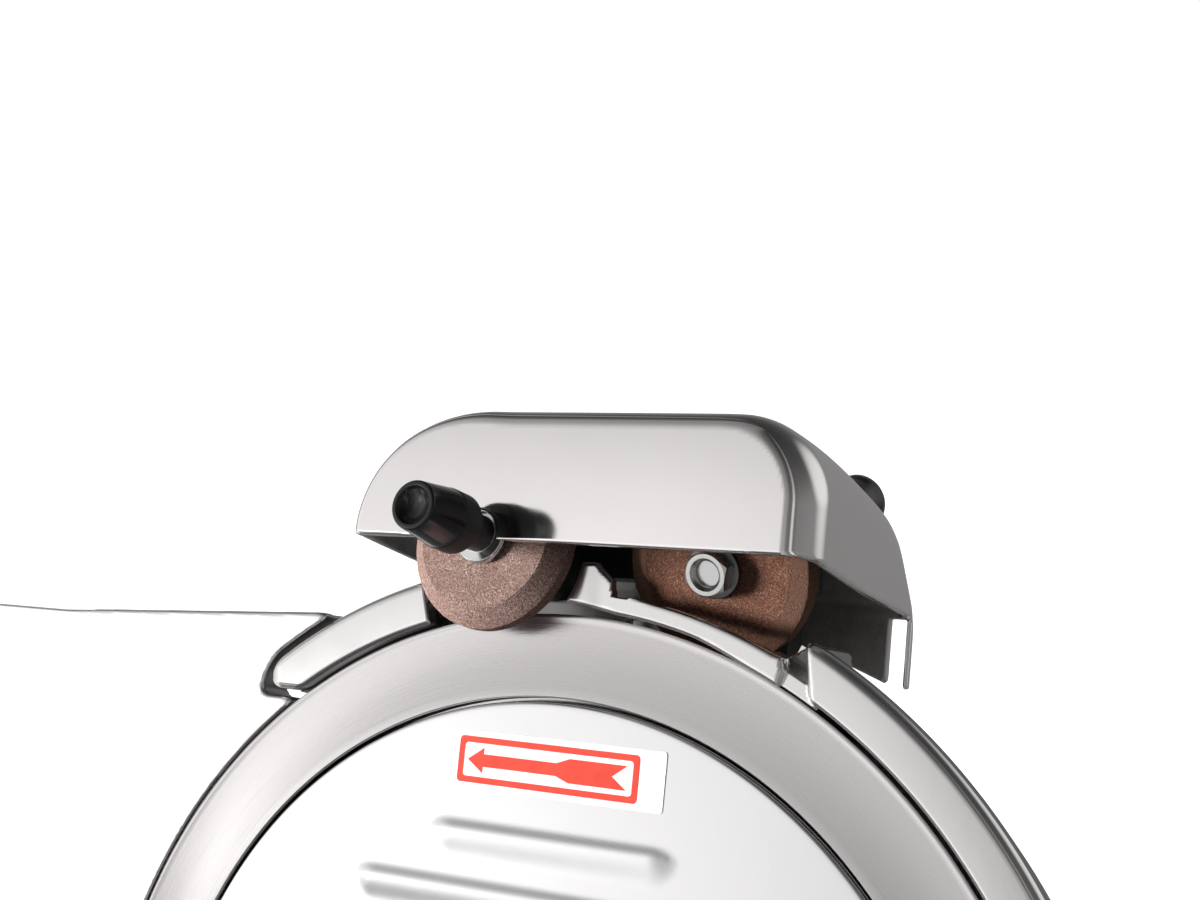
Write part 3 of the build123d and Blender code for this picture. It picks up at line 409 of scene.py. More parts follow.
def metal(name, base, rough, var=0.05, grain=0.0, grain_scale=2.0, wave=0.0, wave_scale=0.05, tint=0.03, stretch=(1, 1, 1), aniso=0.0, tangent=None):
    """Bare metal: uneven polish, faint tone changes and a fine or wavy bump."""
    k = Mat(name, base=base, metallic=1.0, roughness=rough)
    v = k.coords(stretch)
    big = k.noise(k.coords((1, 1, 1)), 0.06, 4.0, 0.6)
    fine = k.noise(v, grain_scale, 3.0, 0.6)
    mixed = k.math("ADD", k.math("MULTIPLY", big, 0.6), k.math("MULTIPLY", fine, 0.4))
    k.to("Roughness", k.remap(mixed, max(0.02, rough - var), rough + var, 0.3, 0.7))
    dark = tuple(c * (1 - tint) for c in base)
    lite = tuple(min(1.0, c * (1 + tint)) for c in base)
    k.to("Base Color", k.ramp(mixed, [(0.35, dark), (0.65, lite)]))
    if grain or wave:
        h = None
        if grain:
            h = k.math("MULTIPLY", fine, grain)
        if wave:
            w = k.math("MULTIPLY", k.noise(k.coords((1, 1, 1)), wave_scale, 2.0, 0.4), wave)
            h = w if h is None else k.math("ADD", h, w)
        k.to("Normal", k.bump(h, 1.0, 0.001))
    if aniso:
        k.b.inputs["Anisotropic"].default_value = aniso
        if tangent:
            t = k.node("ShaderNodeTangent", direction_type="RADIAL", axis=tangent)
            k.link(t.outputs["Tangent"], k.b.inputs["Tangent"])
    return k.m


def plastic(name, base, rough, var=0.06, grain=0.02, scale=3.0, coat=0.0):
    k = Mat(name, base=base, roughness=rough, specular=0.5, coat_weight=coat, coat_roughness=0.12)
    fine = k.noise(k.coords(), scale, 3.0, 0.6)
    big = k.noise(k.coords(), 0.12, 3.0, 0.6)
    k.to("Roughness", k.remap(k.math("ADD", k.math("MULTIPLY", fine, 0.4), k.math("MULTIPLY", big, 0.6)), rough - var, rough + var, 0.3, 0.7))
    k.to("Base Color", k.ramp(big, [(0.3, tuple(c * 0.85 for c in base)), (0.7, tuple(min(1, c * 1.15) for c in base))]))
    k.to("Normal", k.bump(fine, 1.0, grain * 0.001))
    return k.m


def knife_steel():
    """Steel ground in circles about z: fine rings, long scratches, anisotropic shine."""
    k = Mat("knife_steel", base=(0.66, 0.66, 0.66), metallic=1.0, roughness=0.3, anisotropic=0.72)
    tc = k.node("ShaderNodeTexCoord")
    sep = k.node("ShaderNodeSeparateXYZ")
    k.link(tc.outputs["Object"], sep.inputs[0])
    x, y = sep.outputs["X"], sep.outputs["Y"]
    r = k.math("SQRT", k.math("ADD", k.math("MULTIPLY", x, x), k.math("MULTIPLY", y, y)))
    a = k.math("ARCTAN2", y, x)
    comb = k.node("ShaderNodeCombineXYZ")
    k.link(k.math("MULTIPLY", r, 9000.0), comb.inputs["X"])
    k.link(k.math("MULTIPLY", k.math("COSINE", a), 7.0), comb.inputs["Y"])
    k.link(k.math("MULTIPLY", k.math("SINE", a), 7.0), comb.inputs["Z"])
    rings = k.noise(comb.outputs[0], 1.0, 4.0, 0.65)
    comb2 = k.node("ShaderNodeCombineXYZ")
    k.link(k.math("MULTIPLY", r, 2200.0), comb2.inputs["X"])
    k.link(k.math("MULTIPLY", k.math("COSINE", a), 3.0), comb2.inputs["Y"])
    k.link(k.math("MULTIPLY", k.math("SINE", a), 3.0), comb2.inputs["Z"])
    wide = k.noise(comb2.outputs[0], 1.0, 3.0, 0.6)
    both = k.math("ADD", k.math("MULTIPLY", rings, 0.6), k.math("MULTIPLY", wide, 0.4))
    k.to("Roughness", k.remap(both, 0.19, 0.31, 0.3, 0.7))
    k.to("Base Color", k.ramp(both, [(0.3, (0.56, 0.545, 0.547)), (0.7, (0.635, 0.62, 0.62))]))
    k.to("Normal", k.bump(rings, 1.0, 0.000006))
    t = k.node("ShaderNodeTangent", direction_type="RADIAL", axis="Z")
    k.link(t.outputs["Tangent"], k.b.inputs["Tangent"])
    return k.m


def guard_metal():
    """Polished casting about the knife's axis: bright outside; inside its gap rougher, with painted shade darkening its
    colour.
    """
    k = Mat("guard_aluminium", base=(0.80, 0.795, 0.79), metallic=1.0, roughness=0.2)
    tc = k.node("ShaderNodeTexCoord")
    sep = k.node("ShaderNodeSeparateXYZ")
    k.link(tc.outputs["Object"], sep.inputs[0])
    x, y, z = (sep.outputs[c] for c in "XYZ")
    r = k.math("SQRT", k.math("ADD", k.math("MULTIPLY", x, x), k.math("MULTIPLY", y, y)))
    # painted shade: this mask picks the gap walls next to the blade, whose colour is darkened below
    inner = k.math("MULTIPLY", k.remap(r, 1.0, 0.0, 0.1305, 0.1322), k.remap(z, 1.0, 0.0, -0.0016, -0.0004))
    big = k.noise(k.coords(), 0.05, 4.0, 0.6)
    fine = k.noise(k.coords(), 3.0, 3.0, 0.6)
    both = k.math("ADD", k.math("MULTIPLY", big, 0.6), k.math("MULTIPLY", fine, 0.4))
    clean = k.ramp(both, [(0.35, (0.775, 0.77, 0.765)), (0.65, (0.825, 0.82, 0.815))])
    # painted shade: the near-black colour mixed in by the gap mask
    k.to("Base Color", k.mix(inner, clean, (0.10, 0.096, 0.095)))
    k.to("Roughness", k.math("ADD", k.remap(both, 0.14, 0.24, 0.3, 0.7), k.math("MULTIPLY", inner, 0.45)))
    h = k.math("ADD", k.math("MULTIPLY", fine, 0.004), k.math("MULTIPLY", big, 0.04))
    k.to("Normal", k.bump(h, 1.0, 0.001))
    return k.m


def stone(name, dark, mid, lite, fleck, rim=None):
    """Bonded abrasive: packed grains of several tones with pits between them."""
    k = Mat(name, base=mid, roughness=0.92, specular=0.25)
    v = k.coords()
    grains = k.voronoi(v, 4.6, "F1", "Distance")
    tone = k.voronoi(v, 4.6, "F1", "Color")
    fine = k.noise(v, 7.0, 4.0, 0.7)
    big = k.noise(v, 0.14, 3.0, 0.6)
    sep = k.node("ShaderNodeSeparateColor")
    k.link(tone, sep.inputs[0])
    c = k.ramp(sep.outputs[0], [(0.0, dark), (0.45, mid), (0.90, lite), (0.985, fleck)])
    c = k.mix(k.remap(fine, 0.0, 0.55, 0.45, 0.75), c, dark)
    c = k.mix(k.remap(big, 0.0, 0.35, 0.4, 0.75), c, tuple(x * 0.75 for x in mid))
    # painted light: beyond the given radius the stone's colour is lightened, standing in for light catching its rim
    if rim:
        tc = k.node("ShaderNodeTexCoord")
        ps = k.node("ShaderNodeSeparateXYZ")
        k.link(tc.outputs["Object"], ps.inputs[0])
        r = k.math("SQRT", k.math("ADD", k.math("MULTIPLY", ps.outputs["X"], ps.outputs["X"]), k.math("MULTIPLY", ps.outputs["Y"], ps.outputs["Y"])))
        c = k.mix(k.remap(r, 0.0, 0.75, rim[0], rim[1]), c, k.mix(0.5, c, rim[2]))
    k.to("Base Color", c)
    h = k.math("ADD", k.math("MULTIPLY", grains, -0.7), k.math("MULTIPLY", fine, 0.6))
    k.to("Normal", k.bump(h, 1.0, 0.0002))
    return k.m


def glass(name):
    k = Mat(name, base=(0.86, 0.92, 0.94), roughness=0.08, transmission_weight=1.0, ior=1.49)
    smear = k.noise(k.coords(), 0.05, 4.0, 0.65)
    k.to("Roughness", k.remap(smear, 0.04, 0.16, 0.35, 0.7))
    return k.m


M = {}
M["polished_hood"] = metal("polished_hood", (0.855, 0.84, 0.835), 0.085, 0.03, 0.004, 4.0, 0.03, 0.03, 0.015, (1, 1, 1))
M["cast_polished"] = metal("cast_polished", (0.80, 0.795, 0.79), 0.2, 0.05, 0.006, 3.0, 0.05, 0.05, 0.03)
M["guard_aluminium"] = guard_metal()
# painted shade: darker colour for the guard's outer wall, on a rougher cast finish
M["guard_wall_painted_shade"] = metal("guard_wall_painted_shade", (0.27, 0.262, 0.26), 0.42, 0.06, 0.03, 1.6, 0.08, 0.06, 0.05)
M["cast_aluminium"] = metal("cast_aluminium", (0.74, 0.74, 0.745), 0.36, 0.06, 0.03, 1.6, 0.08, 0.06, 0.05)
M["plate_aluminium"] = metal("plate_aluminium", (0.92, 0.92, 0.922), 0.22, 0.05, 0.004, 2.5, 0.03, 0.02, 0.02, (0.12, 2.0, 1.0))
M["cover_aluminium"] = metal("cover_aluminium", (0.90, 0.90, 0.905), 0.24, 0.05, 0.006, 3.5, 0.02, 0.03, 0.02)
M["knife_steel"] = knife_steel()
M["machined_steel"] = metal("machined_steel", (0.62, 0.62, 0.63), 0.26, 0.06, 0.006, 3.0, 0.0, 0.1, 0.05)
M["zinc_steel"] = metal("zinc_steel", (0.68, 0.68, 0.66), 0.3, 0.08, 0.02, 1.2, 0.03, 0.3, 0.06)
M["sheet_steel"] = metal("sheet_steel", (0.66, 0.67, 0.68), 0.34, 0.06, 0.006, 2.0, 0.03, 0.02, 0.03, (4.0, 0.1, 0.1))
M["dark_metal"] = metal("dark_metal", (0.22, 0.22, 0.22), 0.45, 0.08, 0.02, 1.5, 0.03, 0.2, 0.1)
M["hood_inner"] = metal("hood_inner", (0.62, 0.62, 0.61), 0.5, 0.08, 0.05, 1.2, 0.05, 0.1, 0.12)
# painted shade: darker, rougher colour for the plate's edge faces
M["plate_edge_painted_shade"] = metal("plate_edge_painted_shade", (0.62, 0.60, 0.595), 0.45, 0.08, 0.02, 1.6, 0.03, 0.1, 0.1)
M["bright_steel"] = metal("bright_steel", (0.78, 0.775, 0.77), 0.16, 0.05, 0.004, 3.0, 0.0, 0.1, 0.04)
M["black_gloss"] = plastic("black_gloss", (0.006, 0.006, 0.0065), 0.17, 0.04, 0.01, 2.5)
M["black_matte"] = plastic("black_matte", (0.010, 0.010, 0.0105), 0.5, 0.06, 0.04, 2.5)
M["motor_paint"] = plastic("motor_paint", (0.06, 0.063, 0.066), 0.42, 0.08, 0.05, 1.2)
M["black_plastic"] = plastic("black_plastic", (0.008, 0.008, 0.0085), 0.24, 0.06, 0.02, 3.0)
M["label_white"] = plastic("label_white", (0.78, 0.79, 0.80), 0.35, 0.05, 0.004, 2.0)
M["label_red"] = plastic("label_red", (0.64, 0.058, 0.036), 0.35, 0.05, 0.004, 2.0)
M["dial_plate"] = plastic("dial_plate", (0.46, 0.46, 0.455), 0.3, 0.05, 0.004, 2.0)
M["green_plastic"] = plastic("green_plastic", (0.02, 0.30, 0.07), 0.25, 0.05, 0.01, 2.0)
M["red_plastic"] = plastic("red_plastic", (0.48, 0.015, 0.012), 0.25, 0.05, 0.01, 2.0)
M["clear_plastic"] = glass("clear_plastic")
M["foot_rubber"] = plastic("foot_rubber", (0.02, 0.02, 0.02), 0.75, 0.08, 0.08, 2.0)
M["belt_rubber"] = plastic("belt_rubber", (0.018, 0.018, 0.018), 0.7, 0.08, 0.05, 3.0)
M["grinding_abrasive"] = stone("grinding_abrasive", (0.115, 0.068, 0.055), (0.29, 0.178, 0.148), (0.43, 0.30, 0.26), (0.60, 0.50, 0.46))
# painted light: the rim values lighten the deburring stone's outer rim
M["deburring_abrasive"] = stone("deburring_abrasive", (0.072, 0.031, 0.021), (0.165, 0.078, 0.052), (0.28, 0.138, 0.092), (0.40, 0.25, 0.19), rim=(0.0172, 0.0184, (0.44, 0.25, 0.18)))

slot_of = {s["node"]: s["material_slot"] for s in frame["record"]["subparts"]}
for name, ob in NODES.items():
    ob.data.materials.clear()
    ob.data.materials.append(M[slot_of[name]])

# ------------------------------------------------------------------ sharpener hood
HOOD_T = 2.4


def bend(pts, per=10):
    """Smooth line through points."""
    P = np.asarray(pts, float)
    P = np.vstack([2 * P[0] - P[1], P, 2 * P[-1] - P[-2]])
    out = []
    for i in range(1, len(P) - 2):
        p0, p1, p2, p3 = P[i - 1 : i + 3]
        for t in np.arange(per) / per:
            out.append(0.5 * (2 * p1 + (p2 - p0) * t + (2 * p0 - 5 * p1 + 4 * p2 - p3) * t**2 + (3 * p1 - p0 - 3 * p2 + p3) * t**3))
    out.append(P[-2])
    return np.array(out)


TOP_LINE = np.vstack([
    [[60, 172.8]],
    bend([(34, 171.8), (15, 170.5), (-4, 167.7), (-22, 163.0), (-38, 157.2), (-45.4, 149.4), (-48.5, 135.0)], 8),
    [[-48.5, 90.0]],
])


def hood_outer(u, v, n):
    top = line_dist(n, v, TOP_LINE, closed=False)
    corner = 1.0 + (11.0 + np.clip(n + 48.0, 0.0, 64.0) * 0.126) * smooth01((v - 127.0) / 24.0)
    s = rmax(top, u - 64.6, corner)
    s = rmax(s, (-53.8 - u) * (30.0 / 36.0), 30.0)
    crown = ((v - 148.0) ** 2) / 620.0 + ((u - 6.0) ** 2) / 6500.0
    edge = 1.5 + 3.0 * smooth01((u + 50) / 40) + 3.2 * smooth01((u - 40) / 22)
    return rmax(s, n - 15.0 + crown, edge)


def hood(u, v, n):
    o = hood_outer(u, v, n)
    f = np.maximum(o, -(o + HOOD_T))
    low = np.interp(n, [-60, -45.6, -18.5, 4.6, 11.5, 15, 30], [131.6, 132.4, 134.9, 138.3, 139.4, 139.7, 139.7]) - v
    wall_low = np.where(u > 61.0, 115.7, np.clip(116.6 + (59.0 - u) * 0.37, 116.6, 120.2))
    rear = np.maximum(n + 45.7, wall_low - v)
    f = rmax(f, rmin(low, rear, 1.0), 0.7)
    slot = np.maximum(np.maximum(np.abs(u - 61.2) - 2.1, v - 131.8), n + 44.0)
    f = rmax(f, -slot, 0.3)
    return f


def along(matrix):
    """Distance from a stone's axis, and height along it, of points in the knife's frame."""
    inv = np.array(KF.inverted() @ matrix)
    o, d = inv[:3, 3] * 1000.0, inv[:3, 2]

    def g(u, v, n):
        w = [u - o[0], v - o[1], n - o[2]]
        s = w[0] * d[0] + w[1] * d[1] + w[2] * d[2]
        return np.sqrt(np.maximum((w[0] - s * d[0]) ** 2 + (w[1] - s * d[1]) ** 2 + (w[2] - s * d[2]) ** 2, 1e-12)), s

    return g


ax1, ax2 = along(A1), along(A2)


def hood_cut(u, v, n):
    f = hood(u, v, n)
    r, s = ax1(u, v, n)
    f = rmax(f, -np.maximum(r - 5.2, 5.0 - s), 0.4)
    f = np.maximum(f, -np.maximum(r - 7.3, np.maximum(5.0 - s, s - 11.2)))
    r, s = ax2(u, v, n)
    f = rmax(f, -np.maximum(r - 7.2, np.maximum(s + 26, -72 - s)), 0.4)
    for x in (24, 33):
        f = np.maximum(f, -np.maximum(np.hypot(u - x, v - 124.5) - 2.1, n + 42))
    return f


step = 0.8
v, q, g = surface(hood_cut, (-54, 115, -49), (65, 172, 15.5), step)
mid = v[q].mean(1)
new_object(
    "hood_shell", v, q, KF, "sharpener", [M["polished_hood"], M["hood_inner"]], normals=g, replaces="sharpener_hood",
    faces_mat=hood_outer(*mid.T) < -1.2,
)

# ------------------------------------------------------------------ gauge plate
def ray(u, v, deg):
    """Distance from a ray out of the knife's axis, positive on its counter-clockwise side."""
    c, k = math.cos(math.radians(deg)), math.sin(math.radians(deg))
    return c * v - k * u


def plate(u, v, n):
    r = np.hypot(u, v)
    top = v - (120.4 + np.clip((u + 82.0) * 0.051, -4.0, 0.4))
    d = rmax(rmax(top, -222.0 - u, 12.0), -100.0 - v, 12.0)
    d = np.maximum(d, u + 30.0)
    d = rmax(d, 125.8 - r, 0.5)
    notch = rmax(rmax(r - 138.9, -88.4 - u, 5.0), 99.4 - v, 3.0)
    d = rmax(d, -np.where(v > 60, notch, 50.0), 2.4)
    low = np.maximum(r - 138.6, -ray(u, v, -131.9))
    d = rmax(d, -np.where(v < -60, low, 50.0), 1.4)
    skin = rmax(rmax(d, n, 0.75), -4.0 - n, 0.5)
    rim = np.maximum(rmax(np.maximum(d, -(d + 2.4)), n + 0.8, 0.3), rmax(-10.5 - n, 78.0 - v, 3.0))
    rim = np.maximum(rim, -150.0 - u)
    return rmin(skin, rim, 0.8)


PART = 1.0
v, q, g = surface(plate, (-222.5, -101, -10.6), (-29, 121, 0.4), PART)
mid = v[q].mean(1)
new_object(
    "gauge_plate_skin", v, q, KF, "gauge", [M["plate_aluminium"], M["plate_edge_painted_shade"]], normals=g, replaces="gauge_plate",
    # painted shade: the edge faces above the notch take the darker edge material
    faces_mat=(mid[:, 2] < -0.9) & (mid[:, 1] > 76.0) & (mid[:, 0] > -152.0),
)


# ------------------------------------------------------------------ ring guard
def arc(r, a0, a1, n=12):
    return [(r * math.cos(math.radians(a)), r * math.sin(math.radians(a))) for a in np.linspace(a0, a1, n)]


ARM = (
    [(-0.2, 127.7), (1.1, 130.0), (2.0, 132.0), (2.7, 134.0), (3.3, 136.9), (7.3, 137.1), (8.7, 135.6), (10.5, 134.2), (12.0, 132.95), (14.0, 131.6), (16.4, 130.45), (19.6, 129.45)]
    + arc(130.75, 80.0, 66.2, 14)
    + [(54.6, 119.2), (55.2, 116.3), (54.2, 113.4), (53.2, 113.2)]
    + [(x * (125.1 + 1.1 * k), y * (125.1 + 1.1 * k)) for a in np.linspace(65.2, 84.0, 18) for k in [float(smooth01((a - 67.0) / 9.0))] for x, y in arc(1.0, a, a, 1)]
    + [(6.0, 126.9)]
)


def guard(u, v, n):
    r = np.hypot(u, v)
    right_end = (u - 60.4) * -0.987 + (v - 116.6) * -0.159
    low_end = -ray(u, v, -130.5)

    taper = 0.27 * np.maximum(-1.5 - n, 0.0)
    ring = rmax(n - 2.85 + (r - 130.0) ** 2 / 400.0, (r - 137.0 + taper) * 0.965, 2.3)
    right = rmax(rmax(ring, 126.4 - r, 1.2), -28.0 - n, 0.5)
    right = rmax(right, -np.maximum(r - 128.2, n + 5.0), 0.4)
    right = rmax(right, np.minimum(right_end, low_end), 1.5)

    left = rmax(n - 2.3 + (r - 130.5) ** 2 / 400.0, r - 136.7, 2.4)
    left = rmax(rmax(left, 126.0 - r, 1.2), -28.0 - n, 0.5)
    left = rmax(left, -np.maximum(r - 132.0, n + 4.0), 0.4)
    left = rmax(left, -ray(u, v, 107.3), 0.6)
    left = rmax(left, (-85.7 - u) * 0.95 + (106.0 - v) * 0.12, 4.5)
    left = rmax(left, 101.4 - v, 2.0)

    arm = rmax(line_dist(u, v, ARM), n - 2.7 - 0.3 * smooth01((10 - u) / 6.0), 1.1)
    arm = rmax(arm, 0.2 - 6.0 * smooth01((u - 46.5) / 3.0) - n, 0.4)
    under = np.maximum(r - 126.2, n - 0.5)
    r2, s2 = ax2(u, v, n)
    room = np.maximum(r2 - 22.8, np.maximum(-11.5 - s2, s2 - 7.3))
    arm = np.maximum(np.maximum(arm, -under), -room)
    f = np.minimum(np.minimum(right, left), arm)

    saddle = rmax(rmax(r - 136.2, 125.2 - r, 0.8), n - 1.3 + 0.75 * np.maximum(r - 128.6, 0.0) - 0.06 * np.maximum(r - 131.0, 0.0) ** 2, 0.8)
    saddle = np.maximum(saddle, -under)
    saddle = rmax(saddle, (u - 53.8) * -0.647 + (v - 118.6) * 0.764, 0.5)
    saddle = np.maximum(np.maximum(np.maximum(saddle, 50.0 - u), right_end * -1 - 1.5), -20.0 - n)
    web = np.maximum(np.maximum(r - 136.0 - 0.27 * (n + 1.5), 119.0 - r), np.maximum(n + 6.5, -20.0 - n))
    web = np.maximum(web, np.maximum(-ray(u, v, 58.5), ray(u, v, 66.0)))
    f = rmin(np.minimum(f, np.maximum(web, -room)), np.maximum(saddle, -room), 0.6)

    shelf = np.maximum(np.maximum(r - 133.2, 127.8 - r), np.maximum(n + 3.0, -23.0 - n))
    shelf = rmax(shelf, np.maximum(-ray(u, v, 103.6), ray(u, v, 109.5)), 0.5)
    foot = np.maximum(np.maximum(r - 136.0, 127.0 - r), np.maximum(np.abs(n + 15.0) - 2.0, 100.7 - v))
    foot = np.maximum(foot, np.maximum(-86.6 - u, -ray(u, v, 120.0)))
    return np.minimum(np.minimum(f, shelf), foot)


def around(f, r0, r1, a0, a1, n0, n1, h):
    """Surface on a grid bent round the knife's axis, so that its rows follow the rings."""
    R = 130.0

    def bent(a, r, n):
        return f(r * np.cos(a / R), r * np.sin(a / R), n)

    p, q, _ = surface(bent, (math.radians(a0) * R, r0, n0), (math.radians(a1) * R, r1, n1), h)
    p = np.stack([p[:, 1] * np.cos(p[:, 0] / R), p[:, 1] * np.sin(p[:, 0] / R), p[:, 2]], 1)
    g = np.empty_like(p)
    for i in range(3):
        lo, hi = p.copy(), p.copy()
        lo[:, i] -= 0.03
        hi[:, i] += 0.03
        g[:, i] = f(*hi.T) - f(*lo.T)
    return p, q[:, ::-1], g / np.maximum(np.linalg.norm(g, axis=1, keepdims=True), 1e-9)


STEP = 0.62
v, q, g = around(guard, 118, 138, -131.5, 131.0, -28.5, 3.4, STEP)
mid, up = v[q].mean(1), g[q].mean(1)[:, 2]
new_object(
    "guard_casting", v, q, KF, "frame", [M["guard_aluminium"], M["guard_wall_painted_shade"]], normals=g, replaces="ring_guard",
    # painted shade: the outer wall's faces take the darker wall material
    faces_mat=(np.abs(up) < 0.35) & (np.hypot(mid[:, 0], mid[:, 1]) > 134.0) & (mid[:, 2] < 1.0),
)


def guard_back(u, v, n):
    r = np.hypot(u, v)
    bridge = np.maximum(np.maximum(np.abs(n + 21.0) - 2.0, 98.0 - r), np.maximum(r - np.where(u > 30.0, 129.4, 134.0), np.maximum(-ray(u, v, 55), ray(u, v, 129.3))))
    rise = np.where(u < 4.0, 130.6, 123.6)
    bridge = rmax(bridge, np.minimum(r - rise, np.minimum(-ray(u, v, 109), ray(u, v, 61))), 0.8)
    back = np.maximum(np.maximum(np.abs(n + 26.0) - 2.0, r - 129.6), 40.0 - r)
    back = rmax(back, np.maximum(ray(u, v, 61), -ray(u, v, -80)), 0.6)
    bridge = np.maximum(bridge, np.where(u < -60.0, 102.0 - v, -1.0))
    return np.minimum(bridge, back)


v, q, g = surface(guard_back, (-92, -134, -28.5), (134, 134, -18.5), 1.25)
new_object("guard_back_plate", v, q, KF, "frame", M["cast_aluminium"], normals=g, replaces="ring_guard")

# ------------------------------------------------------------------ knife
blade_front = rounded([(20.0, -6.0), (105.85, -6.0), (105.85, -0.35), (106.15, 0.0), (108.4, -0.08)], [0.3, 0.15, 0.3], 5)[:-1]
blade_front += [(108.4 + 1.2 * i, -0.08 - 0.3 * math.sin(math.pi * 0.5 * (i + 1.0) / 7.5)) for i in range(14)]
blade_back = rounded([(124.3, -0.06), (125.0, -0.18), (124.8, -0.4), (116.0, -3.2), (101.5, -4.2), (97.0, -9.5), (20.0, -9.5)], [0.05, 0.1, 1.0, 1.0, 0.8], 4)
blade_line = blade_front + blade_back
v, q = lathe(blade_line + [(20.0, -6.0)], 256)
sharp(new_object("blade_disc", v, q, KF, "knife", M["knife_steel"], replaces="blade"), 28)

# ------------------------------------------------------------------ cover disc with pressed ribs
RIBS = [-69.0 + 13.0 * i for i in range(12)]


def cover_height(u, v):
    h = np.zeros(np.broadcast(u, v).shape)
    for c in RIBS:
        half = math.sqrt(81.0**2 - c * c)
        e = np.maximum(np.abs(u) - (half - 7.0), 0.0)
        w = v - c
        d = np.where(w > 0, np.hypot(w / 2.4, e / 7.0), np.hypot(w / 7.2, e / 8.0))
        h = np.maximum(h, 0.8 * (1.0 - smooth01(d)))
    return h


COVER_R = 104.95


def cover_mesh(rings, steps):
    """Pressed disc on rings about the knife's axis, with a rounded rim and a skirt."""
    a = np.arange(steps) * 2 * np.pi / steps
    rows = [(r, 0.0) for r in np.linspace(1.0, COVER_R - 1.0, rings)]
    rows += [(COVER_R - 1.0 + math.sin(t), math.cos(t) - 1.0) for t in np.linspace(0.2, math.pi / 2, 7)]
    rows += [(COVER_R, -2.0), (COVER_R - 0.3, -2.4), (COVER_R - 2.0, -2.4)]
    verts = [(0.0, 0.0, 0.3 + float(cover_height(np.zeros(1), np.zeros(1))[0]))]
    for r, drop in rows:
        u, w = r * np.cos(a), r * np.sin(a)
        z = 0.3 - 1.2e-5 * r * r + cover_height(u, w) + drop
        verts += list(zip(u, w, z))
    faces = [(0, 1 + t, 1 + (t + 1) % steps) for t in range(steps)]
    for i in range(len(rows) - 1):
        b, c = 1 + i * steps, 1 + (i + 1) * steps
        faces += [(b + t, c + t, c + (t + 1) % steps, b + (t + 1) % steps) for t in range(steps)]
    return verts, faces


v, q = cover_mesh(*(((150, 720))))
sharp(new_object("cover_disc", v, q, KF, "frame", M["cover_aluminium"], replaces="blade_cover"), 50)
v, q = lathe([(103.4, -2.1), (10.0, -2.1), (10.0, -5.4), (0.0, -5.4)], 96)
sharp(new_object("cover_back", v, q, KF, "frame", M["cover_aluminium"], replaces="blade_cover"))


# ------------------------------------------------------------------ label with its arrow
def flat_shape(name, outer, z0, z1, body, material, holes=(), matrix=KF, **kw):
    """Flat printed or stuck shape: outline (with holes) filled at z1 with a skirt to z0."""
    cu = bpy.data.curves.new(name, "CURVE")
    cu.dimensions = "2D"
    cu.fill_mode = "BOTH"
    for loop in (outer, *holes):
        sp = cu.splines.new("POLY")
        sp.points.add(len(loop) - 1)
        for p, (x, y) in zip(sp.points, loop):
            p.co = (x / 1000, y / 1000, 0, 1)
        sp.use_cyclic_u = True
    cu.extrude = (z1 - z0) / 2000
    tmp = bpy.data.objects.new(name + "_line", cu)
    me = bpy.data.meshes.new_from_object(tmp)
    bpy.data.objects.remove(tmp)
    bpy.data.curves.remove(cu)
    me.name = name
    me.transform(Matrix.Translation((0, 0, (z0 + z1) / 2000)))
    me.materials.clear()
    me.materials.append(material)
    ob = bpy.data.objects.new(name, me)
    bpy.context.scene.collection.objects.link(ob)
    ob.matrix_world = matrix
    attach(ob, body)
    if kw.get("replaces"):
        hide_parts(kw["replaces"])
    return ob


def round_rect(cx, cy, w, h, r, n=6):
    out = []
    for sx, sy, a in ((1, 1, 0), (-1, 1, 90), (-1, -1, 180), (1, -1, 270)):
        for t in np.linspace(a, a + 90, n):
            out.append((cx + sx * (w / 2 - r) + r * math.cos(math.radians(t)), cy + sy * (h / 2 - r) + r * math.sin(math.radians(t))))
    return out


flat_shape("label_base", round_rect(0.5, 90.0, 56.0, 13.4, 0.8), 0.2, 0.46, "frame", M["label_white"], replaces="rotation_label", slot="label_white")
flat_shape("label_frame", round_rect(-2.0, 90.0, 48.0, 10.6, 1.0), 0.4, 0.5, "frame", M["label_red"], holes=[round_rect(-2.0, 90.0, 44.9, 7.7, 0.8)], replaces="rotation_label", slot="label_white")
TIP, MID = -23.4, 90.0
flat_shape(
    "label_arrow",
    [(TIP, MID), (TIP + 4.3, MID + 2.9), (TIP + 4.3, MID + 1.45), (TIP + 24.0, MID + 1.45), (TIP + 27.5, MID + 2.7), (TIP + 42.4, MID + 2.7), (TIP + 38.6, MID),
     (TIP + 42.4, MID - 2.7), (TIP + 27.5, MID - 2.7), (TIP + 24.0, MID - 1.45), (TIP + 4.3, MID - 1.45), (TIP + 4.3, MID - 2.9)],
    0.4, 0.5, "frame", M["label_red"], replaces="rotation_label", slot="label_white",
)


# ------------------------------------------------------------------ stones
def chipped(verts, size, amount):
    """Slight wear: moves points by a smooth random amount."""
    P = np.asarray(verts, float)
    k = RNG.normal(size=(24, 3)) / size
    ph = RNG.uniform(0, 6.28, 24)
    w = np.sin(P @ k.T + ph).mean(1)
    c = P.copy()
    c[:, 2] = 0
    ln = np.linalg.norm(c, axis=1, keepdims=True)
    return P + np.where(ln > 8, c / np.maximum(ln, 1e-6), 0) * (w * amount)[:, None]


def wheel(name, matrix, corners, radii, body, mat, node):
    prof = rounded(corners, radii, 4)
    fine = []
    for (r0, a), (r1, b) in zip(prof[:-1], prof[1:]):
        m = max(1, int(math.hypot(r1 - r0, b - a) / 0.9))
        fine += [(r0 + (r1 - r0) * i / m, a + (b - a) * i / m) for i in range(m)]
    v, q = lathe(fine, 144, close=True)
    return sharp(new_object(name, chipped(v, 1.6, 0.18), q, matrix, body, mat, replaces=node), 22)


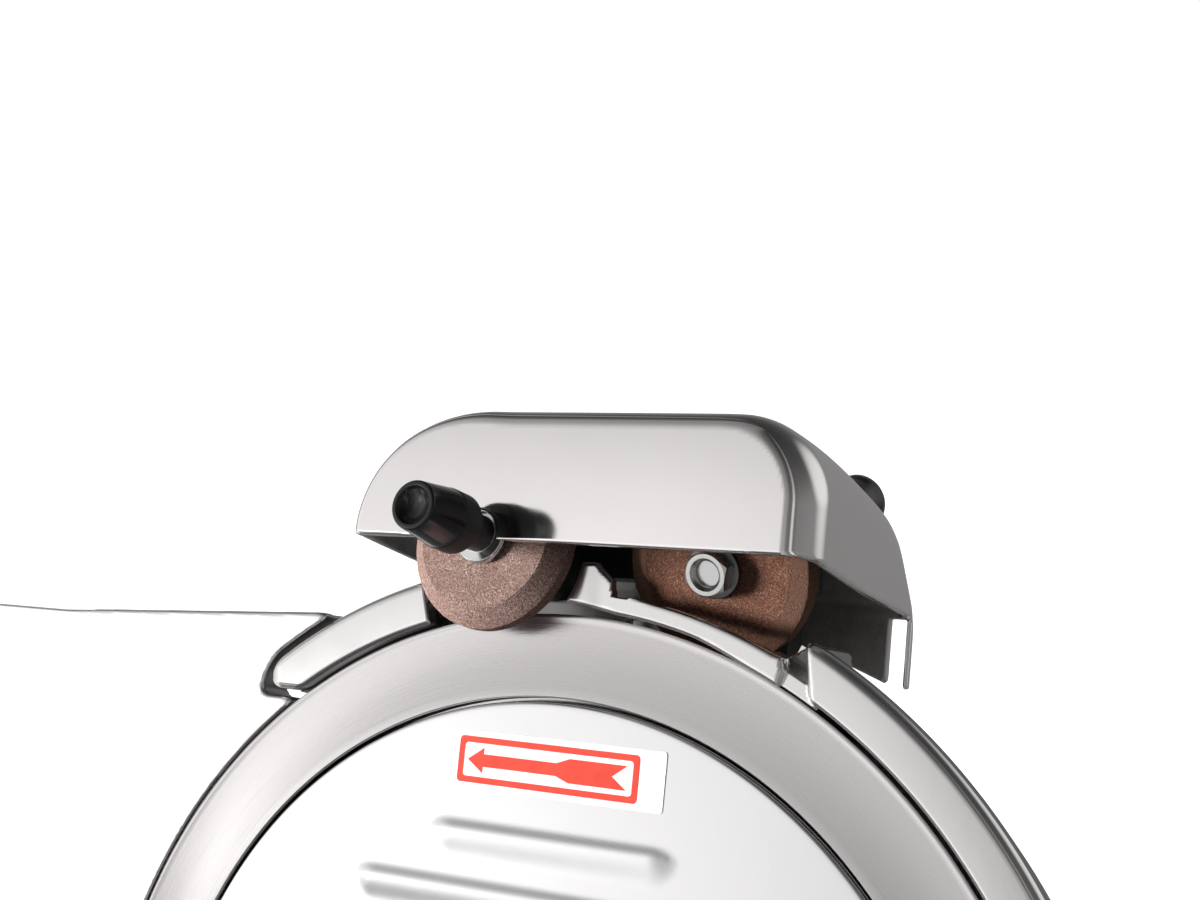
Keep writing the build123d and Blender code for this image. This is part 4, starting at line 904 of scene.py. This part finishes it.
wheel(
    "grinding_wheel_skin", A1,
    [(4.05, 0.0), (18.0, 0.0), (21.0, 2.5), (21.0, 5.4), (16.9, 8.8), (4.05, 8.8), (4.05, 0.0)],
    [0.3, 0.3, 0.3, 0.25, 0.0], "grinding_wheel", M["grinding_abrasive"], "grinding_stone",
)
wheel(
    "deburring_wheel_skin", A2,
    [(4.05, -8.0), (20.7, -8.0), (21.9, -6.9), (21.9, -1.6), (17.7, 0.0), (4.05, 0.0), (4.05, -8.0)],
    [0.3, 0.4, 0.3, 0.3, 0.0], "deburring_wheel", M["deburring_abrasive"], "deburring_stone",
)

# ------------------------------------------------------------------ push knobs, nut
v, q = lathe(rounded([(4.1, 11.3), (4.1, 10.8), (6.3, 10.8), (6.75, 10.3), (6.75, 9.0), (4.1, 9.0)], [0.3, 0.2, 0.2, 0.2], 4), 96)
sharp(new_object("grinding_ring", v, q, A1, "grinding_pushrod", M["bright_steel"], replaces="grinding_knob"), 40)
# painted shade: the thin black neck from 10.9 to 20 covers the spindle to stand in for shade; the wider part is the
# knob's collar
v, q = lathe(rounded([(4.25, 10.9), (4.4, 20.0), (7.0, 20.0), (7.0, 26.2), (6.0, 26.3)], [0.3, 0.6, 0.4], 6), 96)
sharp(new_object("grinding_knob_collar_and_shade_sleeve", v, q, A1, "grinding_pushrod", M["black_matte"], replaces="grinding_knob"), 40)
knob = rounded(
    [(4.0, 26.0), (6.9, 26.0), (6.75, 27.6), (6.0, 33.6), (5.55, 37.5), (4.4, 37.5), (3.9, 36.8), (2.6, 35.9), (1.3, 35.45), (0.0, 35.3)],
    [0.4, 2.0, 6.0, 0.9, 0.4, 1.2, 3.0, 4.0], 8,
)
v, q = lathe(knob, 96)
sharp(new_object("grinding_knob_skin", v, q, A1, "grinding_pushrod", M["black_gloss"], replaces="grinding_knob"), 40)
knob = rounded(
    [(4.0, -66.0), (6.6, -66.0), (6.2, -70.0), (6.9, -79.0), (7.4, -81.0), (7.4, -84.0), (4.4, -84.0), (3.8, -83.4), (0.0, -83.2)],
    [0.6, 4.0, 4.0, 1.2, 1.6, 0.4, 0.8], 6,
)
v, q = lathe(knob[::-1], 96)
sharp(new_object("deburring_knob_skin", v, q, A2, "deburring_pushrod", M["black_plastic"], replaces="deburring_knob"), 40)


def hex_nut(name, matrix, body, R, z0, z1, bore, mat, node, turn=0.0):
    """Chamfered hexagon with a countersunk bore."""
    steps = 144
    a = np.arange(steps) * 2 * np.pi / steps
    flat = R * math.cos(math.pi / 6)
    hexr = flat / np.cos((a + math.radians(turn) + math.pi / 6) % (math.pi / 3) - math.pi / 6)
    rows = []
    for z, lim in ((z0, flat * 0.97), (z0, flat * 0.985), (z0 + 0.75, 99), (z1 - 0.75, 99), (z1, flat * 0.985), (z1, flat * 0.97)):
        rows.append((np.minimum(hexr, lim), z))
    # the chamfer is a cone that only bites into the corners
    rows[2] = (hexr, z0 + 0.0 + np.maximum(hexr - flat * 0.985, 0) * 0.55)
    rows[3] = (hexr, z1 - np.maximum(hexr - flat * 0.985, 0) * 0.55)
    rows += [(np.full(steps, bore + 0.75), z1), (np.full(steps, bore), z1 - 0.8), (np.full(steps, bore), z0), (np.full(steps, bore + 0.1), z0)]
    verts = []
    for r, z in rows:
        verts += list(zip(r * np.cos(a), r * np.sin(a), np.broadcast_to(z, steps)))
    faces = []
    k = len(rows)
    for i in range(k):
        j = (i + 1) % k
        for t in range(steps):
            w = (t + 1) % steps
            faces.append((i * steps + t, i * steps + w, j * steps + w, j * steps + t))
    return sharp(new_object(name, verts, faces, matrix, body, mat, replaces=node), 24)


hex_nut("deburring_nut_skin", A2, "deburring_pushrod", 5.5, 1.1, 5.0, 3.0, M["zinc_steel"], "deburring_nut", 12.0)
v, q = lathe(rounded([(3.0, 0.25), (6.3, 0.25), (6.3, 1.1), (3.0, 1.1), (3.0, 0.25)], [0.2, 0.2, 0.0], 3), 72)
sharp(new_object("deburring_washer", v, q, A2, "deburring_pushrod", M["dark_metal"], replaces="deburring_nut"), 40)

# ------------------------------------------------------------------ dial scale, pointer, button signs
def face_frame(node):
    """Frame on the middle of a node's face towards -y, x to the right and y up as seen from there."""
    lo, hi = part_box(node)
    o = np.array([(lo[0] + hi[0]) * 500.0, lo[1] * 1000.0, (lo[2] + hi[2]) * 500.0])
    return frame_of(o, (1, 0, 0), (0, 0, 1), (0, -1, 0))


def prisms(loops, z0, z1):
    """Low prisms on several outlines, as one mesh."""
    verts, faces = [], []
    for loop in loops:
        b, k = len(verts), len(loop)
        verts += [(x, y, z0) for x, y in loop] + [(x, y, z1) for x, y in loop]
        faces.append(tuple(b + k + i for i in range(k)))
        faces.append(tuple(b + i for i in reversed(range(k))))
        faces += [(b + i, b + (i + 1) % k, b + k + (i + 1) % k, b + k + i) for i in range(k)]
    return verts, faces


def polar_bar(deg, r0, r1, w):
    c, k = math.cos(math.radians(deg)), math.sin(math.radians(deg))
    return [(r * c - t * k, r * k + t * c) for r, t in ((r0, -w / 2), (r1, -w / 2), (r1, w / 2), (r0, w / 2))]


DIAL_TURN, DIAL_ZERO = -25.0, 240.0
DF = face_frame("dial_scale")
v, q = prisms([polar_bar(DIAL_ZERO + DIAL_TURN * i / 4.0, 29.0, (31.6, 30.2, 30.9, 30.2)[i % 4], 0.8 if i % 4 == 0 else 0.42) for i in range(49)], -0.05, 0.1)
new_object("dial_ticks", v, q, DF, "frame", M["black_matte"], smooth=False)
glyph_v, glyph_f = [], []
for i in range(0, 13):
    cu = bpy.data.curves.new("glyph", "FONT")
    cu.body = str(i)
    cu.size = 4.9
    cu.align_x, cu.align_y = "CENTER", "CENTER"
    cu.extrude = 0.06
    cu.resolution_u = 4
    tmp = bpy.data.objects.new("glyph", cu)
    me = bpy.data.meshes.new_from_object(tmp)
    a = math.radians(DIAL_ZERO + DIAL_TURN * i)
    at, k = (33.7 * math.cos(a), 33.7 * math.sin(a)), a - math.pi / 2
    b = len(glyph_v)
    for p in me.vertices:
        x, y = p.co[0], p.co[1]
        glyph_v.append((at[0] + x * math.cos(k) - y * math.sin(k), at[1] + x * math.sin(k) + y * math.cos(k), 0.03 + p.co[2]))
    glyph_f += [tuple(b + j for j in f.vertices) for f in me.polygons]
    bpy.data.objects.remove(tmp)
    bpy.data.curves.remove(cu)
    bpy.data.meshes.remove(me)
new_object("dial_numbers", glyph_v, glyph_f, DF, "frame", M["black_matte"], smooth=False)
v, q = prisms([polar_bar(DIAL_ZERO, 12.0, 26.2, 1.7)], -0.1, 0.18)
new_object("knob_pointer", v, q, face_frame("thickness_knob"), "dial", M["label_white"], smooth=False)
v, q = prisms([round_rect(0.0, 0.0, 1.5, 8.4, 0.6)], -0.1, 0.16)
new_object("start_sign", v, q, face_frame("on_button"), "start_button", M["label_white"], smooth=False)
v, q = lathe(rounded([(3.0, -0.1), (3.0, 0.16), (4.3, 0.16), (4.3, -0.1)], [0.05, 0.05], 2), 72)
sharp(new_object("stop_sign", v, q, face_frame("off_button"), "stop_button", M["label_white"]), 40)

# ------------------------------------------------------------------ springs
def coil(name, matrix, z0, z1, radius, wire, turns, node):
    """Wire spring about z, wound at an even pitch from z0 to z1."""
    n = int(turns * (40)) + 1
    t = np.linspace(0.0, 1.0, n)
    a = 2 * np.pi * turns * t
    rise = z0 + (z1 - z0) * t
    pitch = (z1 - z0) / (2 * np.pi * turns)
    ring = np.arange(12) * 2 * np.pi / 12
    verts = []
    for i in range(n):
        out = np.array([math.cos(a[i]), math.sin(a[i]), 0.0])
        way = np.array([-radius * math.sin(a[i]), radius * math.cos(a[i]), pitch])
        up = np.cross(out, way / np.linalg.norm(way))
        c = out * radius + np.array([0.0, 0.0, rise[i]])
        verts += [tuple(c + wire * (out * math.cos(b) + up * math.sin(b))) for b in ring]
    faces = []
    for i in range(n - 1):
        for k in range(12):
            m = (k + 1) % 12
            faces.append((i * 12 + k, i * 12 + m, (i + 1) * 12 + m, (i + 1) * 12 + k))
    faces += [tuple(range(11, -1, -1)), tuple(range((n - 1) * 12, n * 12))]
    ob = sharp(new_object(name, verts, faces, matrix, "sharpener", M["bright_steel"], replaces=node), 50)
    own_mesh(ob)
    return ob


coil("grinding_spring_wire", A1, -13.0, -3.4, 5.3, 0.85, 4, "grinding_spring")
coil("deburring_spring_wire", A2, -65.1, -31.4, 5.3, 0.85, 8, "deburring_spring")

# ------------------------------------------------------------------ camera
cam_data = bpy.data.cameras.new("camera")
cam_data.sensor_width = 36.0
cam_data.lens = 54.0
cam_data.clip_start, cam_data.clip_end = 0.01, 50.0
cam = bpy.data.objects.new("camera", cam_data)
bpy.context.scene.collection.objects.link(cam)
cam.matrix_world = Matrix((
    (-0.5024, -0.181855, 0.845294, 0.276175),
    (0.861049, -0.016283, 0.508261, 0.259015),
    (-0.078666, 0.98319, 0.164767, 0.426488),
    (0, 0, 0, 1),
))
bpy.context.scene.camera = cam

# ------------------------------------------------------------------ floor and light
fm = Mat("floor_pale", base=(0.86, 0.86, 0.86), roughness=0.9, specular=0.1)
fm.b.inputs["Emission Color"].default_value = (1, 1, 1, 1)
fm.b.inputs["Emission Strength"].default_value = 0.92
me = bpy.data.meshes.new("floor")
me.from_pydata([(-20, -20, 0), (20, -20, 0), (20, 20, 0), (-20, 20, 0)], [], [(0, 1, 2, 3)])
me.materials.append(fm.m)
floor = bpy.data.objects.new("floor", me)
bpy.context.scene.collection.objects.link(floor)
floor.visible_glossy = False
floor.visible_diffuse = False

world = bpy.data.worlds.new("studio")
bpy.context.scene.world = world
world.use_nodes = True
wt = world.node_tree
bg = wt.nodes["Background"]
tc = wt.nodes.new("ShaderNodeTexCoord")


def wmath(op, a, b=None):
    x = wt.nodes.new("ShaderNodeMath")
    x.operation = op
    for i, val in enumerate((a, b)):
        if val is None:
            continue
        if isinstance(val, (int, float)):
            x.inputs[i].default_value = val
        else:
            wt.links.new(val, x.inputs[i])
    return x.outputs[0]


def lobe(direction, inner, outer, gain):
    """A soft lamp in a direction: full inside one angle, gone outside another."""
    d = Vector(direction).normalized()
    x = wt.nodes.new("ShaderNodeVectorMath")
    x.operation = "DOT_PRODUCT"
    wt.links.new(tc.outputs["Generated"], x.inputs[0])
    x.inputs[1].default_value = d
    m = wt.nodes.new("ShaderNodeMapRange")
    m.interpolation_type = "SMOOTHERSTEP"
    m.inputs["From Min"].default_value = math.cos(math.radians(outer))
    m.inputs["From Max"].default_value = math.cos(math.radians(inner))
    m.inputs["To Min"].default_value = 0.0
    m.inputs["To Max"].default_value = gain
    wt.links.new(x.outputs["Value"], m.inputs["Value"])
    return m.outputs["Result"]


def wramp(fac, stops):
    x = wt.nodes.new("ShaderNodeValToRGB")
    els = x.color_ramp.elements
    while len(els) < len(stops):
        els.new(0.5)
    for e, (p, c) in zip(els, stops):
        e.position = p
        e.color = (c, c, c, 1)
    wt.links.new(fac, x.inputs["Fac"])
    return x.outputs["Color"]


# a bright soft wall on the feed side, dim elsewhere, dark overhead
wsep = wt.nodes.new("ShaderNodeSeparateXYZ")
wt.links.new(tc.outputs["Generated"], wsep.inputs[0])
flat = wmath("SQRT", wmath("ADD", wmath("MULTIPLY", wsep.outputs["X"], wsep.outputs["X"]), wmath("MULTIPLY", wsep.outputs["Y"], wsep.outputs["Y"])))
toward = wmath("DIVIDE", wmath("ADD", wmath("MULTIPLY", wsep.outputs["X"], 0.627), wmath("MULTIPLY", wsep.outputs["Y"], -0.779)), wmath("MAXIMUM", flat, 0.001))
turn = wramp(wmath("ADD", wmath("MULTIPLY", toward, 0.5), 0.5), [(0.0, 0.22), (0.50, 0.22), (0.585, 0.15), (0.625, 0.75), (0.65, 0.75), (0.69, 0.16), (0.77, 0.18), (0.83, 0.37), (0.898, 0.42), (0.913, 0.63), (0.925, 0.69), (0.945, 0.88), (0.97, 0.98), (1.0, 0.90)])
height = wramp(wmath("ADD", wmath("MULTIPLY", wsep.outputs["Z"], 0.5), 0.5), [(0.0, 0.55), (0.2, 0.9), (0.40, 1.0), (0.5, 1.0), (0.587, 0.97), (0.711, 0.80), (0.82, 0.48), (0.91, 0.28), (0.97, 0.2), (1.0, 0.15)])
light = wmath("MULTIPLY", wmath("MULTIPLY", turn, height), 1.18)
light = wmath("ADD", light, lobe((-0.55, 0.75, 0.35), 10, 40, 0.6))
light = wmath("ADD", light, lobe((0.70, -0.70, 0.10), 2, 10.5, 1.8))
path = wt.nodes.new("ShaderNodeLightPath")
light = wmath("MULTIPLY", light, wmath("SUBTRACT", 1.0, wmath("MULTIPLY", path.outputs["Is Diffuse Ray"], 0.62)))
light = wmath("ADD", wmath("MULTIPLY", light, wmath("SUBTRACT", 1.0, path.outputs["Is Camera Ray"])), wmath("MULTIPLY", path.outputs["Is Camera Ray"], 1.05))
wt.links.new(light, bg.inputs["Strength"])
bg.inputs["Color"].default_value = (1.0, 0.985, 0.98, 1)


def lamp(name, kind, location, target, energy, size=1.0, glossy=True):
    d = bpy.data.lights.new(name, kind)
    d.energy = energy
    if kind == "AREA":
        d.shape = "DISK"
        d.size = size
    if kind == "SUN":
        d.angle = math.radians(size)
    o = bpy.data.objects.new(name, d)
    bpy.context.scene.collection.objects.link(o)
    o.location = location
    o.rotation_mode = "QUATERNION"
    o.rotation_quaternion = (Vector(target) - Vector(location)).to_track_quat("-Z", "Y")
    o.visible_glossy = glossy
    return o


lamp("top_light", "SUN", (0.3, -0.5, 2.0), (0, 0, 0), 0.75, 50, False)
lamp("key_light", "AREA", (0.75, -1.05, 0.5), (-0.05, 0.04, 0.3), 44, 0.4, False)

bpy.context.scene.view_settings.view_transform = "Standard"
